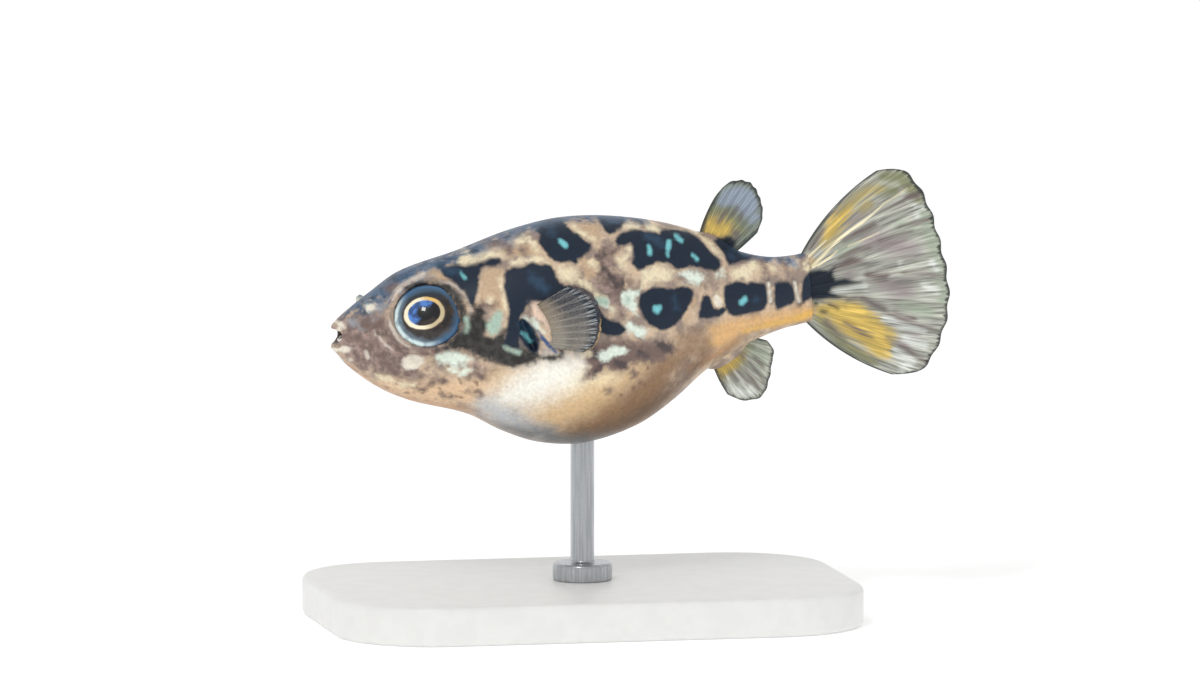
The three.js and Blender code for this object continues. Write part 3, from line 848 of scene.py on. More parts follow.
        ((679, 274.5), (684, 272), (692, 271), (699, 273), (704, 276.5), (703, 280.5), (697, 283),
         (689, 282), (683, 279)),
        ((721, 275, 3.4),),
        ((623, 328), (628, 325), (635, 326), (642, 329), (646, 333), (643, 336), (637, 335), (630, 332.5)),
        ((522, 316.5, 0.8), (529, 320, 1.8), (535, 325, 2), (541, 331, 1)),
        ((371, 306.5, 2.2),),
        ((450, 371, 1.4), (462, 372.5, 2), (470, 370, 1.6)),
        ((599, 301, 1.2), (604, 304.5, 1.8), (609, 308.5, 1)),
    ),
    "pale": (
        ((388, 317, 0.6), (390, 323, 1.4), (393, 330, 1.7), (397, 337, 1.5), (402, 342, 1.1),
         (410, 346.5, 0.6)),
        ((380, 336, 0.9), (383, 341, 1.5), (388, 346, 1.4), (394, 350, 0.8)),
        ((392, 299, 1), (396, 292, 1.5), (402, 286, 1.7), (410, 281, 1.7), (417, 277, 1.5),
         (424, 273.5, 1.8)),
        ((440, 281.5, 0.8), (450, 283.5, 1.3), (458, 287.5, 1.3), (465, 294, 1.3), (470, 302, 1.3),
         (472, 310, 1.2), (470.5, 318, 0.8)),
        # painted highlight on the wet lower lip
        ((340, 350, 1), (346, 349.5, 2.2), (352, 349, 1.6)),
        ((367, 352, 1.8), (369, 358, 1.4)),
        ((352, 360, 2),),
        # painted highlight on the wet upper lip
        ((337, 322, 0.8), (345, 324, 1)),
        ((375, 331, 1), (377, 336, 1)),
    ),
    "peach": (
        ((529, 304), (535, 301), (542, 303), (549, 309), (556, 316), (560, 324), (558, 331), (551, 332),
         (544, 326), (537, 318), (531, 311)),
        ((588, 343, 1.5), (580, 347, 2), (572, 350, 2)),
    ),
    "umbre": (
        ((538, 307, 0.8), (546, 314, 1), (552, 322, 1)),
        ((552, 333, 2.2), (558, 340, 2.6), (560, 349, 2)),
        ((561, 318, 2), (564, 326, 2)),
    ),
    "blue": (
        ((537, 330, 0.8), (542, 337, 1.6), (548, 344, 1.8), (554, 350, 1.6), (557, 353, 0.8)),
    ),
    # painted reflection of the sky: a thin blue-grey line along the top outline of the back and tail
    "gleam": (
        ((526, 226, 0.8), (545, 221, 1.6), (560, 218, 1), (585, 214.5, 0.6), (600, 216, 1.6),
         (612, 217, 3), (622, 217, 1.5), (645, 220, 0.7)),
        ((735, 251, 0.8), (756, 255, 1), (785, 256, 0.8)),
    ),
    "olive": (
        # painted shade: this stroke darkens the groove round the upper and rear edge of the eye; the other
        # two are the dark olive-brown skin below and behind the eye
        ((405, 288, 0.6), (415, 286, 2), (430, 284, 3), (443, 287, 3.6), (452, 292, 3.6), (458, 300, 3.6),
         (462, 309, 3.6), (462, 319, 3), (458, 329, 2.4)),
        ((436, 348), (446, 342), (455, 337), (462, 330), (468, 321), (473, 312), (478, 308), (484, 312),
         (484, 318), (484, 322), (487, 323), (487, 330), (486, 336), (492, 338), (500, 334), (505, 332),
         (508, 340), (509, 350), (522, 350), (536, 352), (545, 357), (556, 357), (563, 352), (562, 357),
         (552, 359), (540, 359), (536, 362), (528, 364), (518, 366), (508, 365), (500, 363), (490, 360),
         (482, 358), (474, 354), (466, 351), (458, 349.5), (450, 348)),
        ((462, 286, 1), (470, 296, 2), (474, 306, 2)),
    ),
    "navy": (
        ((442, 269), (450, 266), (458, 265.5), (466, 267), (474, 265), (484, 262), (492, 259),
         (499, 258.5), (500, 262), (496, 266), (488, 266), (481, 267.5), (479, 274), (478, 284),
         (477, 292), (475, 300), (473, 303), (470, 298), (466, 291), (461, 286.5), (455, 281.5),
         (449, 277.5), (444, 274.5)),
        ((504.5, 277), (506.5, 271), (512, 268), (520, 268), (527, 265.5), (532, 263), (537, 265),
         (545, 264.5), (551, 267), (554, 271), (556, 278), (559, 284), (570, 288), (582, 295), (592, 305),
         (597, 316), (590, 324), (576, 318), (562, 309), (550, 302), (540, 300), (531, 300), (526, 306),
         (524, 312), (520, 317), (519, 328), (519, 338), (520, 348), (510, 349), (504, 342), (507, 335),
         (509, 325), (510, 314), (509, 304), (506.5, 295), (504.5, 287)),
        ((537, 226), (541, 222), (548, 218.5), (555, 217.5), (560, 220), (565, 225), (570, 231),
         (576, 234), (581, 238), (585, 242), (590, 244), (591, 246.5), (589, 250), (585, 253.5),
         (581, 257), (577, 259), (577, 262), (575, 264), (571, 261), (566, 261), (560, 261.5), (554, 260),
         (549, 257), (545, 251), (541, 247), (538.5, 243), (538, 239), (540, 235), (537.5, 231)),
        ((598, 213), (624, 213), (624, 219), (622.5, 223), (620, 227.5), (615.5, 230), (609, 234),
         (606, 232), (603, 227), (600, 222.5), (598, 218)),
        ((629, 218.5), (636, 219), (643, 221), (642, 223), (637, 222), (631, 220.5)),
        ((615, 241), (617, 237), (620.5, 234), (625, 231.5), (632, 230.5), (640, 230.5), (645, 232),
         (652, 232.5), (659, 234), (661, 231), (666, 229.5), (672, 229), (680, 230), (688, 232),
         (693, 235), (699, 240), (705, 246), (710, 252), (715, 257), (719, 261), (720, 265), (718, 268.5),
         (714, 271), (710, 270), (705, 268.5), (699, 267), (694, 265.5), (688, 265.5), (682, 268),
         (676, 269), (671, 265), (666, 262), (661, 261), (654, 262.5), (648, 265), (643, 267.5),
         (638, 269.5), (635, 267.5), (632, 263), (633, 258), (633, 251), (633, 246), (629, 242),
         (625, 244.5), (621, 245.5), (616.5, 244)),
        ((638.5, 300), (641, 294.5), (646, 291), (652, 288.5), (660, 287.5), (667, 289), (674, 289.5),
         (680, 288), (686, 287.5), (691, 290), (692.5, 293), (691, 299), (688, 306), (684, 313.5),
         (679, 320), (673.5, 325.5), (668, 329), (661, 329.5), (654.5, 327), (649, 323.5), (644, 318),
         (641, 311), (638.5, 306)),
        ((703, 296), (706, 295), (709.5, 297), (711, 303), (714.5, 308.5), (719, 310), (723, 308),
         (725, 310), (723, 313.5), (719, 316), (713, 317), (706, 317.5), (699.5, 318), (700, 313),
         (701, 305)),
        ((725, 287), (730, 283.5), (736, 282), (742, 283), (747, 285), (750, 282.5), (757, 283.5),
         (764.5, 284), (766, 287), (767, 295), (767, 304), (765, 309), (760.5, 311), (754, 311.5),
         (748, 313.5), (740, 315), (733, 315.5), (729, 313), (727, 308), (725, 302), (724, 294)),
        ((775.5, 283), (782, 282), (789, 282.5), (792, 285), (794, 292), (794.5, 299), (792, 304),
         (785.5, 305.5), (781, 308.5), (777.5, 309.5), (775.5, 306), (775, 298), (775, 289)),
        ((803, 285), (805, 279), (809, 274), (815, 271), (822, 269), (840, 268), (840, 300), (822, 298),
         (812, 297.5), (806.5, 300), (803.5, 302), (802, 297), (802.5, 291)),
        ((713, 240), (718, 238), (726, 237), (731, 237), (733, 243), (735, 249), (741, 252), (748, 253.5),
         (753, 256), (749, 259), (743.5, 261), (736, 262), (729, 264), (726, 258.5), (723, 252),
         (718, 245.5)),
        ((599, 311), (602, 316), (607, 319), (612, 321), (618, 323), (624, 327), (626, 330), (621, 334),
         (614, 336), (607.5, 335), (602, 332), (599, 326), (597, 318)),
        ((518, 323), (523, 319), (529, 323), (535, 331), (539, 339), (540, 347), (537, 353), (531, 351),
         (525, 345), (520, 338), (518, 330)),
    ),
    "teal": (
        ((646, 236, 2), (657, 240, 3), (664, 246, 2)),
        ((674, 299, 1.6), (676, 308, 1.6)),
        ((756, 300, 2),),
        ((551, 231.5, 3),),
        ((531, 277, 3), (538, 282, 4.5), (545, 290, 3.5)),
        ((442, 266, 3), (450, 270, 3), (457, 272, 2)),
        ((522, 325, 2), (528, 331, 1.6)),
        ((731, 253, 2),),
        ((814, 282, 2.6),),
    ),
    "turquoise": (
        ((461.5, 273.5, 0.9), (464.5, 277.5, 1.2)),
        ((560.5, 241.5, 2), (565, 245, 2.3)),
        ((648, 246.5, 1.9), (649.5, 253, 1.9)),
        ((668.5, 241, 1.9), (667.5, 248, 1.7), (667, 254.5, 1.6)),
        ((675, 236, 1.4), (681, 240, 1.8)),
        ((692, 255, 1.3), (696.5, 259, 1.4)),
        ((655, 309, 2.6), (659, 308.5, 2.6), (657, 311, 2.4)),
        ((742.5, 302, 3), (744, 299.5, 3)),
        ((523, 333, 1.3), (527.5, 336.5, 2), (531.5, 342, 1.4)),
    ),
}

# %% [markdown]
# ## Marks on the mesh
# The marks are thrown onto the fish along the line of sight. On a fin, which is flat, that is one step. The
# flank is round, so there we guess how far out the skin lies, look where the sight line meets it, and guess
# again, until the point no longer moves. Then, for every vertex, we measure how far it lies outside the
# nearest mark of each colour, in millimetres, and negative inside. Both flanks are drawn from the side, and
# they meet on the back. The right flank has the same marks, pushed about by slow waves, because no fish is
# the same on both sides.

# %% Throw the marks onto the fish
MELT = 0.12  # how softly two neighbouring marks run into one another, mm
FAR = 99.0  # mm; farther than any mark
THROWS = 40  # rounds of guessing, more than enough for a guess to settle
FIRST_GUESS = -2.0  # mm to the left of the middle
# how far the painted shade inside the gape reaches, mm
GAPE_SHADE = {"half_width": 0.58, "half_height": 0.39, "ends_at": 2, "softness": 0.5}
RIGHT_FROM, RIGHT_OVER = -0.2, 2.2  # where the right flank begins, and how wide the change is, mm
PUSHES_S = ((0.5, 0.9, 1), (0.25, 1.7, 0.5))  # size in mm, pace and start of a wave along s, and along h
PUSHES_H = ((0.22, 1.3, 2), (0.15, 1.1, 0))

to_fish = tip.to_3x3().transposed()
SEEN_RIGHT, SEEN_UP, SEEN_BACK = (np.array(to_fish @ v) for v in (camera_right, camera_up, camera_back))


def in_plane(x, y, side=0.0):
    """Station and height, in mm, of what a pixel shows at a distance to the right of the middle plane."""
    across, up = (x - LIPS_PIXEL[0]) / PIXELS_PER_MM, (LIPS_PIXEL[1] - y) / PIXELS_PER_MM
    nearer = (side - across * SEEN_RIGHT[1] - up * SEEN_UP[1]) / SEEN_BACK[1]
    return tuple(across * SEEN_RIGHT[i] + up * SEEN_UP[i] + nearer * SEEN_BACK[i] for i in (0, 2))


def on_flank(x, y):
    """Station and height, in mm, of what a pixel shows on the left flank."""
    side = np.full_like(x, FIRST_GUESS)
    for _ in range(THROWS):
        side = (side - flank(*in_plane(x, y, side))) / 2
    return in_plane(x, y, side)


def thrown(marks, onto):
    """Takes marks from pixels of the camera's frame to millimetres on the fish."""
    made = []
    for mark in marks:
        x, y, *radius = np.array(mark, float).T
        made.append(list(zip(*onto(x, y), *(r / PIXELS_PER_MM for r in radius))))
    return made


print("the lips are seen at", [round(c, 2) for c in in_plane(*LIPS_PIXEL)], "mm")

# %% Distances from the marks


def outline_distance(s, h, corners):
    """How far each point lies outside a closed outline, in mm; negative inside."""
    near = np.full(len(s), FAR**2)
    within = np.zeros(len(s), bool)
    for (s0, h0), (s1, h1) in zip(corners, corners[1:] + corners[:1]):
        ds, dh = s1 - s0, h1 - h0
        t = np.clip(((s - s0) * ds + (h - h0) * dh) / max(ds**2 + dh**2, 1e-9), 0, 1)
        near = np.minimum(near, (s - s0 - t * ds) ** 2 + (h - h0 - t * dh) ** 2)
        if h0 != h1:
            within ^= ((h0 > h) != (h1 > h)) & (s < ds * (h - h0) / dh + s0)
    return np.where(within, -1, 1) * np.sqrt(near)


def stroke_distance(s, h, knots):
    """The same for a brush stroke that tapers from knot to knot."""
    near = np.full(len(s), FAR)
    for (s0, h0, r0), (s1, h1, r1) in zip(knots, knots[1:] or knots):
        ds, dh = s1 - s0, h1 - h0
        t = np.clip(((s - s0) * ds + (h - h0) * dh) / max(ds**2 + dh**2, 1e-9), 0, 1)
        near = np.minimum(near, np.hypot(s - s0 - t * ds, h - h0 - t * dh) - (r0 + t * (r1 - r0)))
    return near


def marks_distance(s, h, marks):
    """The distance to the nearest of a list of marks, which are outlines or strokes."""
    best = np.full(len(s), FAR)
    for mark in marks:
        near = (outline_distance if len(mark[0]) == 2 else stroke_distance)(s, h, mark)
        blend = np.maximum(MELT - np.abs(best - near), 0) ** 2 / (4 * MELT)
        best = np.minimum(best, near) - blend
    return best


def carry(piece, name, values):
    """Stores one number per vertex on the mesh, for the material to read."""
    stored = piece.data.attributes.new(name, "FLOAT", "POINT")
    stored.data.foreach_set("value", np.asarray(values, np.float32))


beside = marks_distance(np.array([3.0]), np.array([0.0]), [[(0, 0, 2)]])
print("3 mm from the middle of a dot of radius 2, mm outside it:", float(beside[0]))

# %% Paint the markings onto the mesh


def pushed(waves, s, h):
    """How far the waves push each point, in mm."""
    return sum(size * np.sin(pace * along + start) for (size, pace, start), along in zip(waves, (s, h)))


s, y, h = points_of(skin).T
to_right = softened(np.clip((y - RIGHT_FROM) / RIGHT_OVER, 0, 1))
drawn_s = s + to_right * pushed(PUSHES_S, s, h)
drawn_h = h + to_right * pushed(PUSHES_H, s, h)
for name, marks in MARKINGS.items():
    carry(skin, name, marks_distance(drawn_s, drawn_h, thrown(marks, on_flank)))
# painted shade: the lips and the mouth darken within an ellipse round the gape
gape_shade_depth = np.hypot(y / GAPE_SHADE["half_width"], h / GAPE_SHADE["half_height"])
carry(skin, "gape", np.where(s < GAPE_SHADE["ends_at"], (gape_shade_depth - 1) * GAPE_SHADE["softness"], FAR))
print("markings:", ", ".join(MARKINGS))

# %% [markdown]
# ## Skin finish
# The skin of a living puffer is moist and slightly see-through, with hardly a shine. One Principled shader
# with a little light under the surface and a thin coat does that. The colours go on like a model maker's
# paint: first the ground, a mottled tan; then broad soft washes on the snout, throat and belly, among them
# painted shade that darkens the underside towards its lower edge; then the marks, each over the ones before
# it, among them a painted reflection of blue along the top outline; last the turquoise and pearly spots,
# with painted highlights on the wet lips, and painted shade inside the gape. Every layer is a colour and a
# mask, and every mask is the distance from the mark, turned into a soft and slightly ragged edge by one node
# group. Fine noise over the whole breaks the paint up, and a finer bump stands for the tiny prickles.

# %% Groups used by several finishes


def new_group(name, inputs, outputs):
    """A node group with named inputs and outputs: the tree, its input sockets and a way to set an output."""
    group = bpy.data.node_groups.new(name, "ShaderNodeTree")
    for label, kind, value in inputs:
        socket = group.interface.new_socket(name=label, in_out="INPUT", socket_type=kind)
        socket.default_value = value
    for label, kind in outputs:
        group.interface.new_socket(name=label, in_out="OUTPUT", socket_type=kind)
    entry = group.nodes.new("NodeGroupInput")
    leave = group.nodes.new("NodeGroupOutput")
    return group, entry.outputs, leave.inputs


FLOAT = "NodeSocketFloat"
edge_group, entry, leave = new_group(
    "brushed_edge",
    [("Distance", FLOAT, 0.0), ("Softness", FLOAT, 0.05), ("Wobble", FLOAT, 0.1), ("Scale", FLOAT, 2500.0)],
    [("Mask", FLOAT)],
)
ragged = noise(edge_group, entry["Scale"], 3.0)
ragged = calculate(edge_group, "SUBTRACT", ragged, 0.5)
ragged = calculate(edge_group, "MULTIPLY", ragged, entry["Wobble"])
edge = calculate(edge_group, "ADD", entry["Distance"], calculate(edge_group, "MULTIPLY", ragged, 2.0))
edge = calculate(edge_group, "DIVIDE", edge, entry["Softness"])
edge_group.links.new(clamp_range(edge_group, edge, -1.0, 1.0, 1.0, 0.0), leave["Mask"])


def inside(tree, name, softness, wobble, scale=2500.0, grow=0.0):
    """The mask of one kind of marking, with a softened and ragged edge."""
    distance = reading(tree, name)
    if grow:
        distance = calculate(tree, "SUBTRACT", distance, grow)
    node = tree.nodes.new("ShaderNodeGroup")
    node.node_tree = edge_group
    tree.links.new(distance, node.inputs["Distance"])
    for key, value in (("Softness", softness), ("Wobble", wobble), ("Scale", scale)):
        node.inputs[key].default_value = value
    return node.outputs["Mask"]


print("node group:", edge_group.name)

# %% Skin finish
GROUND = ((156, 139, 128), (214, 190, 163))  # the two tones of the mottled ground
SKIN_LAYERS = (  # mark, colour, then softness and raggedness of its edge and how far it has grown, in mm
    ("dusk", (150, 130, 122), 0.5, 0.9, 0.05),
    ("throat", (240, 206, 168), 0.6, 0.5, 0.0),
    ("rust", (196, 148, 104), 0.35, 0.3, 0.0),
    ("sand", (222, 190, 146), 0.9, 0.4, 0.0),
    # painted shade on the underside
    ("underside_shade", (146, 114, 84), 0.9, 0.4, 0.0),
    # painted shade along the lower edge of the belly
    ("lower_edge_shade", (108, 84, 64), 0.7, 0.4, 0.0),
    ("amber", (232, 186, 128), 0.45, 0.2, 0.0),
    ("gilt", (240, 190, 96), 0.25, 0.15, 0.0),
    ("butter", (250, 232, 192), 0.8, 0.5, 0.0),
    ("white", (254, 251, 241), 1.0, 0.5, 0.1),
    ("ice", (198, 203, 208), 0.7, 0.3, 0.0),
    # painted shade on the bottom of the belly
    ("grey_underside_shade", (108, 112, 114), 0.6, 0.3, 0.0),
    ("tan", (200, 172, 142), 0.2, 0.5, 0.0),
    ("haze", (164, 168, 176), 0.4, 0.8, 0.0),
    # sheen: blue-grey mottle, and a painted reflection along the top outline
    ("sheen", (74, 100, 128), 0.22, 0.4, 0.03),
    ("brown", (122, 102, 96), 0.26, 0.4, 0.03),
    ("pewter", (84, 74, 74), 0.16, 0.3, 0.0),
    ("cream", (238, 224, 192), 0.2, 0.35, 0.02),
    ("pale", (214, 202, 190), 0.08, 0.1, 0.0),
    ("mint", (230, 241, 228), 0.2, 0.45, 0.03),
    ("peach", (232, 206, 186), 0.12, 0.3, 0.0),
    ("umbre", (128, 100, 82), 0.1, 0.15, 0.0),
    # olive: dark skin, and painted shade in the groove round the eye
    ("olive", (58, 56, 54), 0.22, 0.35, 0.05),
    ("navy", (27, 40, 57), 0.11, 0.12, 0.04),
    ("blue", (62, 88, 134), 0.07, 0.1, 0.0),
    # painted reflection along the top outline
    ("gleam", (72, 98, 126), 0.3, 0.3, 0.0),
    ("moss", (176, 200, 184), 0.18, 0.24, 0.02),
    ("teal", (44, 70, 94), 0.26, 0.3, 0.0),
    ("turquoise", (126, 204, 212), 0.11, 0.12, 0.02),
    ("pearl", (238, 230, 214), 0.11, 0.2, 0.02),
    # gape: painted shade inside the mouth
    ("gape", (38, 24, 24), 0.1, 0.0, 0.0),
)
FLECKED = ("dusk", "olive")  # layers with dark and light flecks
SHEEN_FLECK = (44, 60, 80)
FRECKLE = (128, 98, 80)

skin_finish, tree, shader = new_material("puffer_skin", roughness=0.42, specular_ior_level=0.25)
gloss(shader, 0.08, 0.18)
shader.inputs["Subsurface Weight"].default_value = 0.12
shader.inputs["Subsurface Radius"].default_value = (1.0, 0.6, 0.4)
shader.inputs["Subsurface Scale"].default_value = 0.3 * MM

mottle = clamp_range(tree, noise(tree, 1100.0, 5.0), 0.38, 0.62)
colour = blend_in(tree, paint(*GROUND[0]), paint(*GROUND[1]), mottle)
for name, tint, softness, wobble, grow in SKIN_LAYERS:
    mask = inside(tree, name, softness, wobble, grow=grow)
    colour = blend_in(tree, colour, paint(*tint), mask)
    # dark flecks in the sheen, which is partly a painted reflection along the top outline
    if name == "sheen":
        fleck = clamp_range(tree, noise(tree, 2000.0, 4.0), 0.46, 0.68)
        colour = blend_in(tree, colour, paint(*SHEEN_FLECK), product(tree, mask, fleck))
    if name in FLECKED:
        fleck = clamp_range(tree, noise(tree, 2800.0, 5.0), 0.36, 0.64, 0.62, 1.36)
        colour = tone(tree, colour, fleck, mask)
freckles = clamp_range(tree, noise(tree, 2900.0, 0.0), 0.6, 0.8, 0.0, 0.7)
freckles = product(tree, inside(tree, "freckles", 0.3, 0.2), freckles)
colour = blend_in(tree, colour, paint(*FRECKLE), freckles)
grit = clamp_range(tree, noise(tree, 6000.0, 3.0), 0.3, 0.7, 0.9, 1.06)
tree.links.new(tone(tree, colour, grit), shader.inputs["Base Color"])
prickles = {"Height": noise(tree, 9000.0, 2.0), "Strength": 0.25, "Distance": 0.02 * MM}
tree.links.new(add_node(tree, "ShaderNodeBump", prickles).outputs[0], shader.inputs["Normal"])
print("layers of skin paint:", len(SKIN_LAYERS))

# %% Hand over the skin
skin.data.materials.append(skin_finish)
skin.data.shade_smooth()
place(skin)
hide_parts("head", "trunk", "belly", "tail")
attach(skin, "root")
print("skin:", len(skin.data.polygons), "faces")

# %% [markdown]
# ## Eyes
# A puffer's eye is a smooth dome under clear skin, and it carries the whole expression. Inside it lie a pupil
# a little wider than high, a cream and gold ring, a brown-black iris and an outer ring of blue and turquoise.
# Model makers paint these rings on the back of a glass lens. Here the dome is a flattened sphere, set into
# its socket, and each ring is an ellipse in the plane of the eye with its own middle. The distance from each
# ellipse is written onto the mesh, so the rings stay sharp at any size. The lens and the gold ring also
# stand a few hundredths of a millimetre proud, which catches the light. A clear coat does the rest.

# %% Eyeballs
RINGS_OF_EYE = {  # middle (forwards, up) and half sizes, mm
    "pupil": ((0.17, -0.03), (0.83, 0.66)),
    "gold": ((0.17, -0.02), (1.03, 0.84)),
    "ring_inner": ((0.0, -0.11), (1.33, 1.24)),
    "ring_outer": ((0.02, -0.07), (1.69, 1.58)),
}
PUPIL_BULGE, GOLD_BULGE = 0.03, 0.02
PUPIL_SLOPE = 0.3  # how far in from its edge the lens reaches its full height
GOLD_HALF = 0.13  # half the width of the gold ring


def eyeball(word, side):
    """One eyeball, looking out of its socket, with the distances from its rings written onto it."""
    look, centre = mirrored(EYE_LOOK, side), mirrored(EYE_CENTRE, side)
    eye = facing(ball("eyeball_" + word, (EYE_RADIUS, EYE_RADIUS, EYE_DEPTH), 128, 96), look, centre)
    forwards = (Vector((-1, 0, 0)) + look * look.x).normalized()
    upwards = forwards.cross(look)
    upwards = upwards if upwards.z > 0 else -upwards
    p = points_of(eye)
    away = p - np.array(centre)
    a, b, out = away @ np.array(forwards), away @ np.array(upwards), away @ np.array(look)
    distances = {}
    for ring, ((a0, b0), (ra, rb)) in RINGS_OF_EYE.items():
        distances[ring] = (np.hypot((a - a0) / ra, (b - b0) / rb) - 1) * (ra + rb) / 2
        distances[ring][out < 0] = FAR
    lift_by = PUPIL_BULGE * np.clip(-distances["pupil"] / PUPIL_SLOPE, 0, 1)
    ridge = np.clip(1 - np.abs(distances["gold"] + GOLD_HALF) / GOLD_HALF, 0, 1)
    lift_by += GOLD_BULGE * softened(ridge)
    set_points(eye, p + lift_by[:, None] * np.array(look))
    for ring, distance_from in distances.items():
        carry(eye, ring, distance_from)
    reach = np.maximum(np.hypot(a, b), 1e-6)
    carry(eye, "front", a / reach)
    carry(eye, "top", b / reach)
    eye.data.shade_smooth()
    place(eye)
    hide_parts("eye_" + word)
    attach(eye, "root")
    return eye


eyes = [eyeball(word, side) for word, side in SIDES.items()]
print("eyes:", [e.name for e in eyes])

# %% [markdown]
# ## Eye finish
# The iris is brown-black, bluish at the top. The outer ring is brightest in front and low down, dull behind,
# and it fades inwards into the iris. The lens is black, with a painted reflection of deep blue along its
# upper front edge. The finish mixes these by the distances and by the direction from the middle.

# %% Eye finish
EYE_PAINTS = {
    "iris": (26, 22, 22), "iris_streak": (58, 44, 34), "iris_top": (34, 44, 54),
    "ring_dull": (54, 100, 142), "ring_bright": (232, 254, 255), "ring_streak": (52, 84, 120),
    "ring_inside": (56, 84, 108), "gold_dull": (206, 188, 150), "gold_bright": (255, 244, 214),
    "gold_top": (240, 198, 116), "gold_rim": (60, 46, 38), "lens": (8, 10, 14), "lens_painted_reflection": (84, 134, 212),
    "lens_low": (52, 44, 38),
}
RING_SCALE, GOLD_SCALE = 2000.0, 2600.0  # how fine their edges are frayed, per metre

eye_finish, tree, shader = new_material("puffer_eye", roughness=0.3, specular_ior_level=0.2)
gloss(shader, 0.75, 0.03)
streaks = noise(tree, 2600.0, 4.0)
front, top, from_pupil = (reading(tree, name) for name in ("front", "top", "pupil"))


def eye_blend(base, name, mask):
    """Lays one of the eye's paints over a colour."""
    return blend_in(tree, base, paint(*EYE_PAINTS[name]), mask)


colour = eye_blend(paint(*EYE_PAINTS["iris"]), "iris_streak", clamp_range(tree, streaks, 0.4, 0.65))
colour = eye_blend(colour, "iris_top", clamp_range(tree, top, 0.3, 0.95))

low_front = calculate(tree, "SUBTRACT", front, product(tree, top, 0.55))
ring = eye_blend(paint(*EYE_PAINTS["ring_dull"]), "ring_bright", clamp_range(tree, low_front, 0.1, 0.95))
ring = eye_blend(ring, "ring_streak", clamp_range(tree, streaks, 0.5, 0.7, 0.0, 0.5))
inner_edge = clamp_range(tree, reading(tree, "ring_outer"), -0.1, -0.26, 0.0, 0.85)
ring = eye_blend(ring, "ring_inside", inner_edge)
not_iris = calculate(tree, "SUBTRACT", 1.0, inside(tree, "ring_inner", 0.14, 0.16, RING_SCALE))
ring_mask = product(tree, inside(tree, "ring_outer", 0.06, 0.1, RING_SCALE), not_iris)
colour = blend_in(tree, colour, ring, ring_mask)

gold = eye_blend(paint(*EYE_PAINTS["gold_dull"]), "gold_bright", clamp_range(tree, front, -0.3, 0.5))
above_behind = product(tree, clamp_range(tree, top, 0.2, 0.9), clamp_range(tree, front, 0.5, -0.4))
gold = eye_blend(gold, "gold_top", above_behind)
colour = eye_blend(colour, "gold_rim", inside(tree, "gold", 0.06, 0.06, GOLD_SCALE, 0.07))
colour = blend_in(tree, colour, gold, inside(tree, "gold", 0.04, 0.06, GOLD_SCALE))

# painted reflection: deep blue along the upper front edge of the lens
painted_reflection = product(
    tree, clamp_range(tree, calculate(tree, "ADD", front, top), -0.1, 0.5),
    clamp_range(tree, from_pupil, -0.48, -0.28), clamp_range(tree, streaks, 0.36, 0.56, 0.35, 1.0),
)
lens = eye_blend(paint(*EYE_PAINTS["lens"]), "lens_painted_reflection", painted_reflection)
low_edge = product(tree, clamp_range(tree, top, -0.6, -0.95), clamp_range(tree, from_pupil, -0.35, -0.2))
lens = eye_blend(lens, "lens_low", low_edge)
colour = blend_in(tree, colour, lens, inside(tree, "pupil", 0.035, 0.03, GOLD_SCALE))
tree.links.new(colour, shader.inputs["Base Color"])
for eye in eyes:
    eye.data.materials.append(eye_finish)
print("eye finish:", len(EYE_PAINTS), "paints")

# %% [markdown]
# ## Teeth
# A puffer has four teeth, two to a jaw, grown together into a beak. They could be one bent box, but the seam
# in the middle of each jaw is seen from the front, so four plates are made. Each starts as a cube whose
# faces are cut into a fine grid. It is bent round the mouth between two angles and two radii, thinned
# towards its cutting edge, and given rounded edges by a bevel. The enamel is glossy ivory.

# %% Tooth plates
TOOTH = {  # radii, front, length and rounding in mm; angles from the middle of the jaw in degrees
    "outer": 0.53, "inner": 0.37, "from": 4, "to": 70, "front": 0.16, "length": 0.5, "thinning": 0.35,
    "rounding": 0.03,
}


def tooth_plate(place_in_mouth, jaw, side):
    """One plate of the beak: a cube bent round the mouth and thinned towards its cutting edge."""
    plate = new_primitive(bpy.ops.mesh.primitive_cube_add, "beak_plate_" + place_in_mouth, size=1)
    bpy.ops.object.mode_set(mode="EDIT")
    bpy.ops.mesh.select_all(action="SELECT")
    bpy.ops.mesh.subdivide(number_cuts=11)
    bpy.ops.object.mode_set(mode="OBJECT")
    share = points_of(plate) + 0.5
    angle = np.radians(TOOTH["from"] + (TOOTH["to"] - TOOTH["from"]) * share[:, 0])
    angle = jaw * (math.pi / 2 - side * angle)
    thickness = (TOOTH["outer"] - TOOTH["inner"]) * (1 - TOOTH["thinning"] * share[:, 2])
    radius = TOOTH["outer"] - (1 - share[:, 1]) * thickness
    forwards = -TOOTH["front"] - TOOTH["length"] * (1 - share[:, 2])
    set_points(plate, np.column_stack([radius * np.cos(angle), radius * np.sin(angle), forwards]))
    round_mouth(plate)
    apply_modifier(plate, "BEVEL", width=TOOTH["rounding"], segments=3, limit_method="ANGLE")
    turn_normals_out(plate)
    plate.data.shade_smooth()
    place(plate)
    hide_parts("tooth_" + place_in_mouth)
    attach(plate, "root")
    return plate


enamel, tree, shader = new_material("enamel", roughness=0.22)
gloss(shader, 0.6, 0.08)
growth = clamp_range(tree, noise(tree, 3500.0), 0.4, 0.7)
tint = blend_in(tree, paint(250, 248, 240), paint(232, 222, 200), growth)
tree.links.new(tint, shader.inputs["Base Color"])
for jaw, jaw_word in ((1, "upper"), (-1, "lower")):
    for side, side_word in ((1, "left"), (-1, "right")):
        tooth_plate(f"{jaw_word}_{side_word}", jaw, side).data.materials.append(enamel)
print("four tooth plates")

